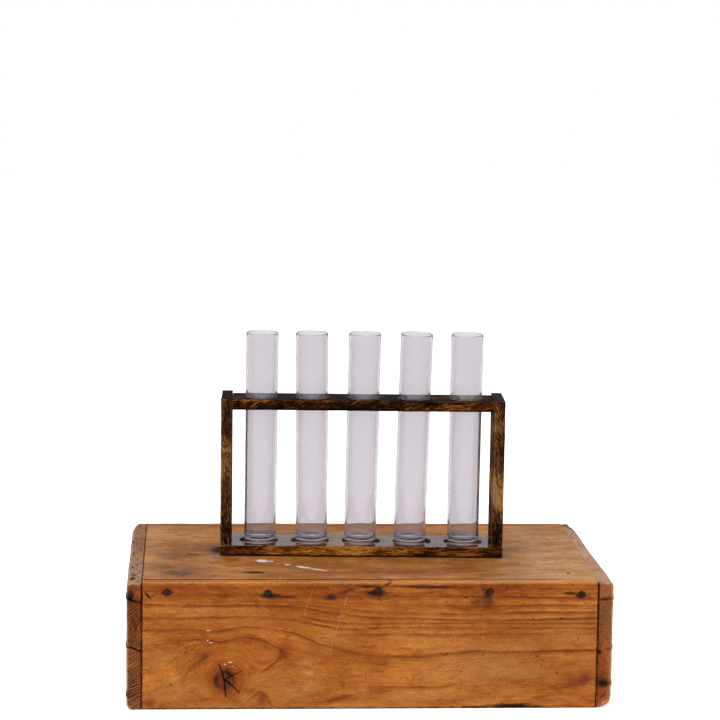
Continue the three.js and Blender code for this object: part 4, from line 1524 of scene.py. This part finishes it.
clear = Finish("clear_glass")
height = clear.split(clear.mm)[Z]
# Painted shade: below these heights the glass is tinted dark for the rack seen through it.
above_foot = clear.span(height, crate_high[Z] + FOOT_DARK, crate_high[Z] + FOOT_CLEAR)
clear.put(clear.shader.inputs["Base Color"], clear.mix(above_foot, FOOT_PAINTED_DARK, WALL_TINT))
clear.shader.inputs["Roughness"].default_value = 0.0
clear.shader.inputs["IOR"].default_value = 1.5
clear.shader.inputs["Transmission Weight"].default_value = 0.95
drawn_glass = clear.noise(clear.vector("MULTIPLY", clear.mm, (0.05, 0.05, 0.008)), 1.0, 2)
clear.bump(drawn_glass, 0.4 * MM, 0.15)
through = clear.node("BsdfTransparent")
through.inputs["Color"].default_value = (0.86, 0.85, 0.865, 1)
# Light falls through the glass as through a thin grey film, so that its shadow is as light as real glass's.
either = clear.node("MixShader")
clear.put(either.inputs[0], clear.node("LightPath").outputs["Is Shadow Ray"])
clear.put(either.inputs[1], clear.shader.outputs[0])
clear.put(either.inputs[2], through.outputs[0])
clear.put(clear.tree.nodes["Material Output"].inputs["Surface"], either.outputs[0])

for i in TUBES:
    foot, way, tall = tube_line(i)
    tall /= MM
    rim, rim_round, inside = tall - 0.02, TUBE_WALL * 0.49, TUBE_RADIUS - TUBE_WALL
    tube_outline = [
        (0, 0.5, 0),
        (TUBE_RADIUS - 4, 0, 1.0),
        (TUBE_RADIUS, 0, FOOT_ROUND),
        (TUBE_RADIUS, FOOT_RING, 0),
        (TUBE_RADIUS, tall - RIM_RING, 0),
        (TUBE_RADIUS, rim, rim_round),
        (inside, rim, rim_round),
        (inside, tall - RIM_RING, 0),
        (inside, TUBE_FLOOR + FOOT_RING, 0),
        (inside, TUBE_FLOOR, FLOOR_ROUND),
        (4, TUBE_FLOOR, 0),
        (0, TUBE_FLOOR, 0),
    ]
    tube = turn_form(f"glass_tube_{i}_clear", np.array(tube_outline) * MM, 96, 7, clear.material)
    lean = Vector((0, 0, 1)).rotation_difference(way).to_matrix().to_4x4()
    tube.data.transform(Matrix.Translation(foot) @ lean)
    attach(tube, f"tube_{i}")
    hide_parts(f"glass_tube_{i}")

# Floor
# A plain pale floor, just under the part, which keeps the soft shadow of what stands on it. The camera, also
# through the glass, sees it white.
FLOOR_SIZE = 12.0
FLOOR_DROP = 0.0002
floor_mesh = bpy.data.meshes.new("floor")
edge = FLOOR_SIZE / 2
floor_corners = [(-edge, -edge, 0), (edge, -edge, 0), (edge, edge, 0), (-edge, edge, 0)]
floor_mesh.from_pydata(floor_corners, [], [(0, 1, 2, 3)])
floor = bpy.data.objects.new("floor", floor_mesh)
bpy.context.scene.collection.objects.link(floor)
floor.location.z = -FLOOR_DROP
pale = Finish("pale_floor")
path = pale.node("LightPath")
# Its grey as it lights the part, as glass shows it, and as the camera does.
own, through_glass, to_camera = ((grey, grey, grey, 1) for grey in (0.86, 1.25, 2.0))
chalk = pale.node("BsdfDiffuse")
paint = pale.mix(path.outputs["Is Transmission Ray"], own, through_glass)
pale.put(chalk.inputs["Color"], pale.mix(path.outputs["Is Camera Ray"], paint, to_camera))
pale.put(pale.tree.nodes["Material Output"].inputs["Surface"], chalk.outputs[0])
pale.tree.nodes.remove(pale.shader)
floor_mesh.materials.append(pale.material)

# Light
# A white room that is darker in front where gloss mirrors it, with one broad soft lamp above on the left and
# a weaker one on the right. The camera, also through the glass, sees it plain white.
ROOM_LIGHT = 0.62
# How strongly gloss mirrors the room in front and behind, and how far off the middle the change ends.
MIRROR_FRONT, MIRROR_BEHIND, MIRROR_CHANGE = 0.12, 1.0, 0.25
world = bpy.data.worlds.new("room")
world.use_nodes = True
bpy.context.scene.world = world
tree = world.node_tree
room_light = tree.nodes["Background"]
room_light.inputs["Strength"].default_value = ROOM_LIGHT
white = tree.nodes.new("ShaderNodeBackground")
mirrored = tree.nodes.new("ShaderNodeBackground")
for glow in (room_light, white, mirrored):
    glow.inputs["Color"].default_value = (1, 1, 1, 1)
way = tree.nodes.new("ShaderNodeSeparateXYZ")
tree.links.new(tree.nodes.new("ShaderNodeTexCoord").outputs["Generated"], way.inputs[0])
behind = tree.nodes.new("ShaderNodeMapRange")
behind.interpolation_type = "SMOOTHSTEP"
ends = (-MIRROR_CHANGE, MIRROR_CHANGE, MIRROR_FRONT, MIRROR_BEHIND)
for socket, value in zip(behind.inputs[1:5], ends):
    socket.default_value = value
tree.links.new(way.outputs[Y], behind.inputs[0])
tree.links.new(behind.outputs[0], mirrored.inputs["Strength"])
path = tree.nodes.new("ShaderNodeLightPath")
seen = tree.nodes.new("ShaderNodeMath")
seen.operation = "MAXIMUM"
tree.links.new(path.outputs["Is Camera Ray"], seen.inputs[0])
tree.links.new(path.outputs["Is Transmission Ray"], seen.inputs[1])
shown = room_light.outputs[0]
for share, other in ((path.outputs["Is Glossy Ray"], mirrored), (seen.outputs[0], white)):
    either = tree.nodes.new("ShaderNodeMixShader")
    tree.links.new(share, either.inputs[0])
    tree.links.new(shown, either.inputs[1])
    tree.links.new(other.outputs[0], either.inputs[2])
    shown = either.outputs[0]
tree.links.new(shown, tree.nodes["World Output"].inputs["Surface"])


def lamp(name, place, size, power):
    """A square soft lamp that looks at the part."""
    light = bpy.data.lights.new(name, "AREA")
    light.shape = "SQUARE"
    light.size = size
    light.energy = power
    made = bpy.data.objects.new(name, light)
    made.location = place
    made.rotation_mode = "QUATERNION"
    made.rotation_quaternion = (Vector((0, 0, 0.1)) - Vector(place)).to_track_quat("-Z", "Y")
    bpy.context.scene.collection.objects.link(made)


lamp("left_lamp", (-1.3, -1.7, 1.9), 1.4, 26)
lamp("right_lamp", (1.8, -0.9, 1.3), 1.2, 8)
bpy.context.scene.view_settings.view_transform = "Standard"

# Camera
# Where the photograph was taken from, with its turn, tilt and slight roll in degrees, and with its focal
# length in pixels of the photograph's frame.
CAMERA_PLACE = (-0.1601, -2.3239, 0.6475)
CAMERA_TURN, CAMERA_TILT, CAMERA_ROLL = (math.radians(angle) for angle in (3.8136, 8.5096, 0.8346))
FOCAL_PIXELS, FRAME_PIXELS, SENSOR = 2526.5, 720, 36.0
camera = bpy.data.objects.new("camera", bpy.data.cameras.new("camera"))
camera.data.sensor_width = SENSOR
camera.data.lens = FOCAL_PIXELS / FRAME_PIXELS * SENSOR
camera.data.clip_end = 50.0
level = Vector((math.sin(CAMERA_TURN), math.cos(CAMERA_TURN), 0))
across = Vector((math.cos(CAMERA_TURN), -math.sin(CAMERA_TURN), 0))
ahead = level * math.cos(CAMERA_TILT) - Vector((0, 0, math.sin(CAMERA_TILT)))
above = Vector((0, 0, math.cos(CAMERA_TILT))) + level * math.sin(CAMERA_TILT)
right_hand = across * math.cos(CAMERA_ROLL) + above * math.sin(CAMERA_ROLL)
overhead = above * math.cos(CAMERA_ROLL) - across * math.sin(CAMERA_ROLL)
aim = Matrix((right_hand, overhead, -ahead)).transposed().to_4x4()
camera.matrix_world = Matrix.Translation(CAMERA_PLACE) @ aim
bpy.context.scene.collection.objects.link(camera)
bpy.context.scene.camera = camera

bpy.context.view_layer.update()
